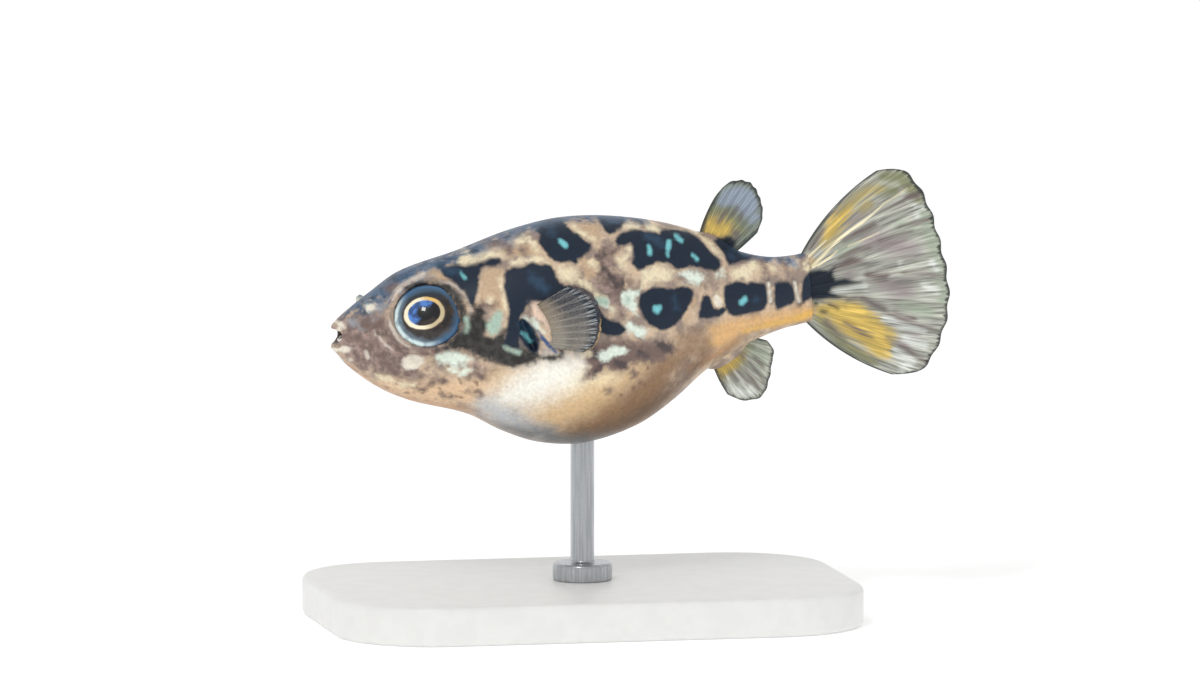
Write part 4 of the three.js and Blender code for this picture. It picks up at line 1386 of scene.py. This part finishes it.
# %% [markdown]
# ## Fins
# A fin is a thin clear web held open by bony rays that fork on their way to the edge. A flat card with a
# picture would look right only from the side, so the blades are real. A grid is bent into a fan: u runs
# across the rays and v along them. A slow wave keeps it from lying flat. Then it is thickened, most at the
# root and on the rays, so that the rays stand out as ribs. The colours are marks again, drawn in the same
# pixels, but here they are dragged along the rays by stretched noise, as they are in life.

# %% Drawn colours of the fins, in pixels of the camera's frame
FIN_MARKS = {
    "mauve": (
        ((868, 238, 8), (895, 245, 10), (915, 250, 6)),
        ((885, 282, 8), (905, 290, 10)),
        ((850, 275, 4),),
        ((850, 222, 4), (862, 214, 4)),
        ((905, 345, 6), (915, 335, 6)),
    ),
    "sage": (
        ((925, 215, 8), (935, 240, 8), (940, 265, 5), (944, 300, 5)),
        ((900, 225, 5), (915, 228, 4)),
        ((752, 350, 5), (764, 354, 4), (760, 366, 4)),
        ((905, 305, 5), (930, 312, 6)),
        ((840, 252, 4), (855, 244, 4)),
    ),
    "olive": (
        ((820, 318, 5), (835, 334, 6), (850, 348, 6), (862, 355, 5), (876, 362, 2.5)),
        ((884, 176, 5), (900, 176, 7), (912, 188, 6), (920, 202, 4)),
        ((880, 190, 5), (895, 190, 5)),
        ((706, 218, 3), (712, 209, 4), (722, 212, 5), (735, 222, 5), (743, 232, 3)),
        ((716, 380, 2), (722, 374, 3), (730, 366, 5), (742, 358, 4)),
        ((745, 346, 2), (752, 346, 2)),
    ),
    "straw": (
        ((843, 214, 4), (850, 205, 5), (860, 196, 5), (870, 190, 5), (880, 188, 4)),
        ((868, 204, 5), (862, 208, 4)),
        ((880, 345, 6), (890, 335, 5)),
        ((806, 306, 4), (800, 312, 4)),
    ),
    "yellow": (
        ((819, 244), (822, 235), (827, 225), (833, 215), (841, 208), (849, 205), (852, 210), (848, 218),
         (843, 226), (838, 234), (830, 241), (824, 246)),
        ((800, 304), (808, 302), (818, 304), (826, 301), (838, 300), (850, 300), (860, 302), (870, 310),
         (880, 317), (888, 327), (895, 338), (893, 348), (885, 356), (878, 357), (868, 351), (858, 344),
         (848, 337), (838, 329), (828, 319), (815, 313), (804, 312)),
        ((701, 231), (703, 223), (708, 215), (714, 216), (722, 219), (730, 223), (734, 228), (733, 234),
         (728, 236), (722, 238.5), (715, 241), (709, 239), (704, 235)),
        ((709, 360), (716, 354), (726, 350), (736, 352), (740, 350), (742, 360), (738, 368), (730, 374),
         (722, 379), (718, 376), (715, 369)),
        ((737, 350, 2.4), (742, 354, 1.5)),
    ),
    "gold": (
        ((833, 309, 1.5), (848, 314, 2.6), (862, 321, 2.6), (882, 330, 1.4)),
        ((858, 325, 1.2), (872, 335, 2), (886, 345, 2.6), (890, 352, 1.6)),
        ((830, 222, 2.4), (836, 217, 2.4)),
        ((825, 236, 1.6), (829, 228, 1.6)),
        ((850, 307, 2), (862, 312, 2)),
        ((707, 231, 1.8), (713, 229, 2), (719, 234, 2.2), (725, 232, 1.5)),
        ((708, 222, 1), (709, 227, 1)),
        ((726, 229, 1.6),),
        ((716.5, 364, 1.5), (719, 371, 1)),
    ),
    "brown": (
        ((836, 268, 2.5), (850, 262, 5), (866, 262, 2.5)),
        ((869, 276, 3.5), (886, 277, 3)),
        ((845, 240, 1.2), (860, 232, 1.8), (874, 224, 2.4)),
        ((862, 297, 2.5), (872, 303, 3), (884, 309, 2.4)),
        ((811, 248, 1.6), (817, 238, 2.2), (823, 229, 1.2)),
        ((874, 212, 0.8), (888, 207, 1.8), (904, 201, 2)),
        ((906, 198, 2), (918, 195, 3)),
        ((888, 337, 0.6), (903, 346, 1.3), (915, 355, 1.3), (927, 361, 1.2)),
        ((885, 311, 0.6), (900, 318, 1.1), (915, 324, 1.1), (930, 328, 1.2), (941, 331, 1)),
        ((900, 228, 0.8), (918, 222, 1.3), (930, 219, 0.8)),
        ((905, 275, 1), (925, 274, 1.4), (944, 276, 1)),
        ((880, 240, 1.2), (898, 232, 1.4), (912, 230, 0.8)),
        ((840, 258, 1), (858, 250, 1.6), (870, 247, 1)),
        ((895, 312, 1), (915, 318, 0.8)),
        ((848, 299, 1.5), (858, 296, 1.5)),
        ((826, 322, 1.5), (838, 334, 1.5), (846, 340, 1)),
        ((845, 322, 1), (862, 332, 1.2), (872, 336, 0.8)),
        ((706, 361, 2), (718, 357, 3.4), (728, 353, 4.4), (737, 345, 3.4)),
        ((740, 352, 0.8), (743, 355, 1.2)),
        ((733, 232, 1.2), (737, 234, 2), (736, 238, 1.6)),
        ((731, 372, 0.7), (737, 380, 0.9)),
        ((738, 371, 0.7), (748, 383, 1)),
        ((744, 367, 0.8), (753, 380, 1.1), (759, 389, 1)),
        ((750, 362, 0.8), (759, 375, 1.1), (766, 384, 1.2)),
        ((755, 358, 0.8), (763, 366, 1)),
        ((718, 222, 0.8), (722, 215, 1.2), (727, 211, 0.8)),
        ((732, 214, 0.7), (737, 208, 1)),
        ((742, 212, 0.8), (740, 220, 0.8)),
    ),
    "tan": (
        ((810, 258, 3), (814, 263, 3)),
        ((806, 306, 4), (813, 308, 3)),
        ((798, 256, 5), (806, 262, 5), (809, 268, 3)),
        ((800, 303, 4), (808, 305, 3)),
    ),
    "navy": (
        ((795, 280), (803, 276), (810, 271), (820, 269), (828, 270), (836, 266), (833, 273), (836, 279),
         (845, 278), (856, 280.5), (862, 282), (848, 285), (838, 286), (832, 288), (830, 292), (838, 295),
         (847, 296), (838, 298), (828, 298), (818, 300), (808, 300), (795, 301)),
        ((816, 303, 2),),
        ((829, 304, 0.8), (838, 308, 1.2)),
        ((822, 311, 1.3), (826, 312, 1)),
        ((710, 246), (712, 240.5), (720, 239), (726, 236.5), (731, 236), (733, 239), (736, 240),
         (735, 246), (732, 250), (712, 250)),
    ),
    "cream": (
        ((808, 257, 1.5), (818, 248, 1), (826, 240, 0.6)),
        ((813, 266, 1.8), (828, 250, 1.5), (838, 240, 1.3), (850, 230, 1.1), (862, 222, 1.3),
         (872, 214, 0.7), (884, 203, 0.8), (895, 196, 0.6), (908, 187, 0.3)),
        ((818, 266, 0.9), (830, 257, 1), (838, 250, 0.6)),
        ((848, 246, 0.6), (866, 238, 0.5), (880, 232, 0.2)),
    ),
    "white": (
        ((885, 318, 2.6), (905, 325, 3.6), (925, 331, 3)),
        ((896, 350, 3), (912, 362, 5), (904, 368, 4)),
        ((905, 338, 3), (925, 345, 4)),
        ((933, 262, 3), (938, 270, 2)),
        ((925, 285, 3), (938, 291, 3)),
        ((833, 292, 1.2), (850, 288, 2), (866, 287, 1.6)),
        ((901, 264, 2.4),),
        ((915, 206, 2), (924, 206, 2.4)),
        ((918, 215, 3),),
        ((730, 388, 4), (742, 393, 4), (754, 392, 3)),
        ((742, 382, 2), (750, 388, 2)),
        ((728, 378, 1.6),),
        ((735, 372, 1), (742, 380, 1)),
        ((765, 386, 1.6),),
    ),
    "slate": (
        ((716, 202), (722, 192), (731, 187), (742, 186), (752, 190), (758, 199), (757, 210), (752, 216),
         (745, 218), (739, 213), (735, 206), (728, 205), (720, 210)),
        ((752, 220, 3), (757, 216, 3)),
    ),
}
print("fin marks:", ", ".join(FIN_MARKS))

# %% Shape of the fins
FIN_THICKNESS = 0.34  # mm
SWAY = {"across": 1.7, "along": 0.35, "start": 0.6}  # turns of the slow wave
RAY_WIDTH = 0.011  # of ten rays, as a share of the fin's spread
RAY_TAPER = 0.45
FORKS = ((0.3, 0.25), (0.6, 0.11))  # where along a ray it forks, and how far, as a share of the gap
SCALLOP = 0.008  # how far the rays reach past the web, as a share of their length
THICK = {"root": 0.75, "tip": 0.25, "web": 0.55, "edge": 0.45}  # shares of the thickness
RIM_PACE = {"side": 25, "tip": 20}  # how fast a fin thickens inwards from its edges


def between(low, high, share):
    """A value between two others."""
    return low + (high - low) * share


TAIL_FIN = {
    "rays": 10, "grid": (240, 70), "wave": 0.1,
    "root": lambda u: (np.full_like(u, BODY_LENGTH - 0.4), between(-1.6, 1.9, u)),
    "heading": lambda u: between(-50, 58, u), "turn": lambda u: between(28, -31, u),
    "length": through(
        (0, 5.2), (0.07, 6.5), (0.2, 7.15), (0.38, 7.5), (0.6, 7.3), (0.85, 7.1), (0.94, 6.6), (1, 5.6)),
}
DORSAL_FIN = {
    "rays": 8, "grid": (120, 48), "wave": 0.05,
    "root": lambda u: (between(20.7, 18.95, u), between(2.2, 3.15, u)),
    "heading": lambda u: between(32, 74, u), "turn": lambda u: between(8, -22, u),
    "length": through((0, 1.6), (0.15, 2.45), (0.35, 3.15), (0.6, 3.65), (0.8, 3.5), (0.93, 3.02), (1, 2.3)),
}
ANAL_FIN = {
    "rays": 7, "grid": (110, 44), "wave": 0.05,
    "root": lambda u: (between(19.15, 20.9, u), between(-2.9, -1.95, u)),
    "heading": lambda u: between(-78, -14, u), "turn": lambda u: between(18, -8, u),
    "length": through((0, 2.1), (0.12, 2.75), (0.32, 3.2), (0.5, 2.85), (0.7, 2.3), (0.88, 1.9), (1, 1.3)),
}


def pectoral_root(u):
    """The slanting root of the pectoral fin, from its top to its foot."""
    down = (PECTORAL["root"] / 2 - ROOT_INSET) * (1 - 2 * u)
    return ROOT_INSET + down * math.sin(PECTORAL["lean"]), -down * math.cos(PECTORAL["lean"])


PECTORAL_FIN = {
    "rays": 9, "grid": (120, 48), "wave": 0.03, "spread": math.radians(27), "cup": 0.3,
    "root": pectoral_root,
    "heading": lambda u: between(-12, 28, u), "turn": lambda u: 0 * u,
    "length": through((0, 1.5), (0.15, 2.3), (0.5, 2.95), (0.8, 2.85), (1, 2)),
}
print("middle ray of the tail, mm:", round(float(TAIL_FIN["length"](0.5)), 2))

# %% Fans and rays


def fan(fin, u, v):
    """Where a point of the fin lies, for u across its rays and v along them: s and h."""
    s, h = fin["root"](u)
    reach = fin["length"](u) * v * (1 + SCALLOP * np.cos(2 * math.pi * fin["rays"] * u))
    angle = np.radians(fin["heading"](u) + fin["turn"](u) * v / 2)
    return s + reach * np.cos(angle), h + reach * np.sin(angle)


def ray_ridges(count, u, v):
    """How high the rays stand, 0 to 1. Each forks twice on its way to the edge."""
    height = np.zeros_like(u)
    first, second = (np.clip((v - start) / (1 - start), 0, 1) * apart / count for start, apart in FORKS)
    width = RAY_WIDTH * 10 / count * (1 - RAY_TAPER * v)
    for k in range(count + 1):
        for parting in (-first - second, -first + second, first - second, first + second):
            height = np.maximum(height, np.exp(-(((u - k / count - parting) / width) ** 2)))
    return height


print("top of the dorsal fin, mm:", [round(float(c), 2) for c in fan(DORSAL_FIN, 0.8, 1.0)])

# %% Fin blades


def fin_blade(name, fin, side=0):
    """A thin ribbed blade: a grid bent into the fan, then thickened most at its root and its rays."""
    across, along = fin["grid"]
    blade = new_primitive(
        bpy.ops.mesh.primitive_grid_add, name + "_blade", x_subdivisions=across, y_subdivisions=along, size=2,
    )
    grid = points_of(blade)
    u, v = (grid[:, 0] + 1) / 2, (grid[:, 1] + 1) / 2
    s, h = fan(fin, u, v)
    turns = SWAY["across"] * u + SWAY["along"] * v
    wave = fin["wave"] * v * np.sin(2 * math.pi * turns + SWAY["start"])
    if side:
        sine, cosine = math.sin(fin["spread"]), math.cos(fin["spread"])
        out = np.array((-sine, cosine, 0))
        flat = np.column_stack([s * cosine, s * sine, h])
        root = np.array((PECTORAL["s"], float(flank(PECTORAL["s"], PECTORAL["h"])), PECTORAL["h"]))
        points = flat + root + (wave - fin["cup"] * v**2)[:, None] * out
        points[:, 1] *= side
    else:
        points = np.column_stack([s, wave, h])
    set_points(blade, points)
    ray = ray_ridges(fin["rays"], u, v)
    carry(blade, "across", u)
    carry(blade, "along", v)
    carry(blade, "ray", ray)
    from_side, from_tip = np.minimum(u, 1 - u), 1 - v
    chord = np.hypot(*(np.subtract(fan(fin, 0 * u, v), fan(fin, 0 * u + 1, v))))
    carry(blade, "edge", np.minimum(from_side * chord, from_tip * fin["length"](u)))
    if not side:
        for mark, marks in FIN_MARKS.items():
            carry(blade, mark, marks_distance(s, h, thrown(marks, in_plane)))
    inwards = np.minimum(from_side * RIM_PACE["side"], from_tip * RIM_PACE["tip"])
    weight = between(THICK["root"], THICK["tip"], v)
    weight *= between(THICK["web"], 1, ray)
    weight *= np.minimum(THICK["edge"] + inwards, 1)
    thick = blade.vertex_groups.new(name="thickness")
    for i, w in enumerate(weight):
        thick.add([i], float(w), "REPLACE")
    apply_modifier(
        blade, "SOLIDIFY", thickness=FIN_THICKNESS, offset=0, vertex_group="thickness", use_even_offset=False,
    )
    turn_normals_out(blade)
    blade.vertex_groups.clear()
    blade.data.shade_smooth()
    return blade


fins = {
    "tail_fin": fin_blade("tail_fin", TAIL_FIN),
    "dorsal_fin": fin_blade("dorsal_fin", DORSAL_FIN),
    "anal_fin": fin_blade("anal_fin", ANAL_FIN),
}
for word, side in SIDES.items():
    fins["pectoral_fin_" + word] = fin_blade("pectoral_fin_" + word, PECTORAL_FIN, side)
for name, fin in fins.items():
    place(fin)
    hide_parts(name)
    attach(fin, "root")
print("fins:", {name: len(fin.data.polygons) for name, fin in fins.items()})

# %% [markdown]
# ## Fin finish
# The web lets light through, and the rays do not, so the finish mixes a web colour with a ray colour and
# makes the web a little transparent; that of the pectoral fins is half clear. The root is more opaque,
# because muscle reaches into it. The dark rim comes from the distance to the edge, which the mesh carries
# too.

# %% Fin finish
FIN_PAINTS = (  # mark, colour, softness and streakiness in mm
    ("mauve", (162, 152, 152), 0.5, 0.7),
    ("sage", (172, 182, 164), 0.3, 0.5),
    ("slate", (150, 162, 178), 0.2, 0.3),
    ("olive", (140, 143, 112), 0.25, 0.5),
    ("straw", (182, 168, 118), 0.3, 0.5),
    ("yellow", (208, 180, 98), 0.35, 0.8),
    ("gold", (238, 204, 108), 0.2, 0.5),
    ("white", (220, 224, 218), 0.16, 0.4),
    ("brown", (118, 106, 103), 0.2, 0.5),
    ("tan", (200, 176, 142), 0.15, 0.3),
    ("cream", (250, 238, 200), 0.05, 0.05),
    ("navy", (22, 33, 46), 0.14, 0.25),
)
STREAK = (110.0, 3.5, 1.0)  # how fine the noise is across the rays and along them
FINE_STREAK, BEADS = (300.0, 5.0, 1.0), (70.0, 26.0, 1.0)
FIN_BASE = {  # web, ray, opacity of the web, brightness of a streak, opacity that a ray adds, fine noise
    "tail_fin": ((186, 187, 176), (208, 210, 198), 0.92, 0.74, 0.2, FINE_STREAK),
    "dorsal_fin": ((136, 146, 134), (156, 164, 154), 0.9, 0.74, 0.2, FINE_STREAK),
    "anal_fin": ((190, 194, 180), (212, 214, 202), 0.88, 0.74, 0.2, FINE_STREAK),
    "pectoral_fin": ((112, 112, 116), (164, 160, 156), 0.45, 0.88, 0.08, BEADS),
}
DARK_EDGE = {"tail_fin": 0.22, "dorsal_fin": 0.24, "anal_fin": 0.18, "pectoral_fin": 0.02}  # width, mm
EDGE_PAINT = (44, 50, 48)


def pectoral_paints(tree, across, along, ray, streak):
    """The colours of the pectoral fin, from its fleshy root to its dark rim, with painted glints on the rays
    and a painted highlight at the tip, each with its mask.
    """
    feathered = calculate(tree, "ADD", along, product(tree, streak, 0.5))
    behind_rim = product(tree, clamp_range(tree, along, 0.72, 0.84), clamp_range(tree, along, 0.95, 0.9))
    ray_glints = product(tree, clamp_range(tree, ray, 0.35, 0.8), clamp_range(tree, streak, 0.4, 0.6))
    lower = product(tree, clamp_range(tree, across, 0.8, 0.15), clamp_range(tree, streak, 0.35, 0.55))
    last = product(tree, clamp_range(tree, along, 0.955, 0.985), clamp_range(tree, across, 0.55, 0.35))
    return (
        ((158, 146, 128), clamp_range(tree, feathered, 0.8, 0.35)),
        ((156, 152, 142), lower),
        ((40, 52, 68), clamp_range(tree, along, 0.7, 0.9)),
        # painted glints on the rays behind the rim
        ((206, 212, 212), product(tree, ray_glints, behind_rim)),
        # painted highlight at the lower tip
        ((222, 186, 132), last),
    )


def median_paints(tree, streak):
    """The drawn colours of the tail, dorsal and anal fin, dragged along the rays, each with its mask."""
    for mark, tint, softness, streaky in FIN_PAINTS:
        drag = product(tree, calculate(tree, "SUBTRACT", streak, 0.5), 2 * streaky)
        distance = calculate(tree, "ADD", reading(tree, mark), drag)
        yield tint, clamp_range(tree, distance, softness, -softness)


def fin_finish(name):
    """The finish of one kind of fin: web, rays, drawn colours, ribs, dark edge and clearness."""
    web_tint, ray_tint, opacity, streak_shade, ray_opacity, fine = FIN_BASE[name]
    on_side = name == "pectoral_fin"
    made, tree, shader = new_material(name + "_finish", roughness=0.42, specular_ior_level=0.25)
    gloss(shader, 0.06, 0.15)
    across, along, ray = reading(tree, "across"), reading(tree, "along"), reading(tree, "ray")
    where = add_node(tree, "ShaderNodeCombineXYZ", {0: across, 1: along}).outputs[0]

    def drawn_out(factors, detail):
        """Noise in the fin's own directions."""
        stretched = add_node(tree, "ShaderNodeVectorMath", {0: where, 1: factors}, operation="MULTIPLY")
        return noise(tree, 1.0, detail, stretched.outputs[0])

    streak = drawn_out(STREAK, 3.0)
    dark = paint(*(streak_shade * c for c in web_tint))
    colour = blend_in(tree, paint(*web_tint), dark, clamp_range(tree, streak, 0.44, 0.66))
    colour = blend_in(tree, colour, paint(*ray_tint), product(tree, ray, 0.5))
    paints = pectoral_paints(tree, across, along, ray, streak) if on_side else median_paints(tree, streak)
    for tint, mask in paints:
        colour = blend_in(tree, colour, paint(*tint), mask)
    ribs = product(
        tree, clamp_range(tree, streak, 0.36, 0.62, 1.05, 0.93), clamp_range(tree, ray, 0.1, 0.8, 0.9, 1.12),
        clamp_range(tree, drawn_out(fine, 2.0), 0.38, 0.62, 1.1, 0.84),
    )
    colour = tone(tree, colour, ribs)
    frayed = product(tree, calculate(tree, "SUBTRACT", streak, 0.5), 0.7)
    from_edge = calculate(tree, "ADD", reading(tree, "edge"), frayed)
    edge_mask = clamp_range(tree, from_edge, DARK_EDGE[name], 0.3 * DARK_EDGE[name], 0.0, 0.9)
    tree.links.new(blend_in(tree, colour, paint(*EDGE_PAINT), edge_mask), shader.inputs["Base Color"])

    solid_root = clamp_range(tree, along, 0.22, 0.5, 0.5, 0.0)
    if on_side:
        opacity = clamp_range(tree, across, 0.45, 0.95, opacity + 0.15, 0.75 * opacity)
    solid_ray = product(tree, ray, ray_opacity)
    alpha = calculate(tree, "ADD", opacity, calculate(tree, "ADD", solid_root, solid_ray))
    tree.links.new(calculate(tree, "MINIMUM", alpha, 1.0), shader.inputs["Alpha"])
    return made


fin_finishes = {kind: fin_finish(kind) for kind in FIN_BASE}
for name, fin in fins.items():
    fin.data.materials.append(fin_finishes.get(name) or fin_finishes["pectoral_fin"])
print("fin finishes:", [finish.name for finish in fin_finishes.values()])

# %% [markdown]
# ## Stand
# A museum shop would mill the plate from acrylic or board, round its corners, soften its edges and spray it
# satin white, and turn the rod from steel with a collar at its foot. The same steps are taken here: a cube is
# bevelled twice, and the rod is a disc whose top is inset and extruded upwards. Both sizes come from the
# frame. The stand is kept plain, so that nothing competes with the fish.

# %% Stand
base_low, base_high = (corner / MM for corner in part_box("stand_base"))
rod_low, rod_high = (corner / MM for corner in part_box("stand_rod"))
BASE_CORNER, BASE_BEVEL = 5.0, 0.3  # mm, as all the sizes of the stand are
ROD_RADIUS, COLLAR_HEIGHT, CHAMFER = 0.6, 0.9, 0.15
BRUSHING = 0.04  # how far the brush marks are drawn out along the rod
base_size = base_high - base_low

base = new_primitive(bpy.ops.mesh.primitive_cube_add, "stand_base_plate", size=1)
base.data.transform(Matrix.Translation((base_low + base_high) / 2) @ Matrix.Diagonal((*base_size, 1)))
choose(base, "EDGE", lambda ends: abs(ends[0].z - ends[1].z) > 1)
bpy.ops.mesh.bevel(offset=BASE_CORNER, segments=20)
bpy.ops.object.mode_set(mode="OBJECT")
choose(base, "EDGE", lambda ends: abs(ends[0].z - ends[1].z) < 0.01)
bpy.ops.mesh.bevel(offset=BASE_BEVEL, segments=5)
bpy.ops.object.mode_set(mode="OBJECT")

collar_radius = (rod_high.x - rod_low.x) / 2
rod = new_primitive(
    bpy.ops.mesh.primitive_cylinder_add, "stand_steel_rod", vertices=96, radius=collar_radius,
    depth=COLLAR_HEIGHT, location=(0, 0, rod_low.z + COLLAR_HEIGHT / 2),
)
apply_place(rod)
choose(rod, "FACE", lambda corners: min(c.z for c in corners) > rod_low.z + COLLAR_HEIGHT - 0.01)
bpy.ops.mesh.inset(thickness=collar_radius - ROD_RADIUS)
bpy.ops.mesh.extrude_region_move(
    TRANSFORM_OT_translate={"value": (0, 0, rod_high.z - rod_low.z - COLLAR_HEIGHT)})
bpy.ops.object.mode_set(mode="OBJECT")
apply_modifier(rod, "BEVEL", width=CHAMFER, segments=4, limit_method="ANGLE", angle_limit=math.radians(50))

print("stand:", len(base.data.polygons), "and", len(rod.data.polygons), "faces")

# %% Stand finishes
lacquer, tree, shader = new_material("satin_white_lacquer", roughness=0.42)
gloss(shader, 0.2, 0.3)
cloud = clamp_range(tree, noise(tree, 900.0), 0.4, 0.6)
tree.links.new(blend_in(tree, paint(236, 236, 234), paint(233, 233, 231), cloud), shader.inputs["Base Color"])
peel = {"Height": noise(tree, 1800.0, 2.0), "Strength": 0.2, "Distance": 0.02 * MM}
tree.links.new(add_node(tree, "ShaderNodeBump", peel).outputs[0], shader.inputs["Normal"])
base.data.materials.append(lacquer)

steel, tree, shader = new_material("brushed_steel", roughness=0.3, metallic=1.0)
room = add_node(tree, "ShaderNodeTexCoord").outputs["Object"]
along_rod = add_node(tree, "ShaderNodeMapping", {"Vector": room, "Scale": (1, 1, BRUSHING)})
brushing = noise(tree, 9000.0, 2.0, along_rod.outputs[0])
tint = blend_in(tree, paint(196, 199, 202), paint(176, 180, 184), clamp_range(tree, brushing, 0.35, 0.65))
tree.links.new(tint, shader.inputs["Base Color"])
tree.links.new(clamp_range(tree, brushing, 0.3, 0.7, 0.24, 0.38), shader.inputs["Roughness"])
rod.data.materials.append(steel)

for piece, node in ((base, "stand_base"), (rod, "stand_rod")):
    select_only(piece)
    bpy.ops.object.shade_smooth_by_angle(angle=math.radians(35))
    piece.data.transform(Matrix.Scale(MM, 4))
    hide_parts(node)
    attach(piece, "root")
print("stand finishes:", lacquer.name, steel.name)
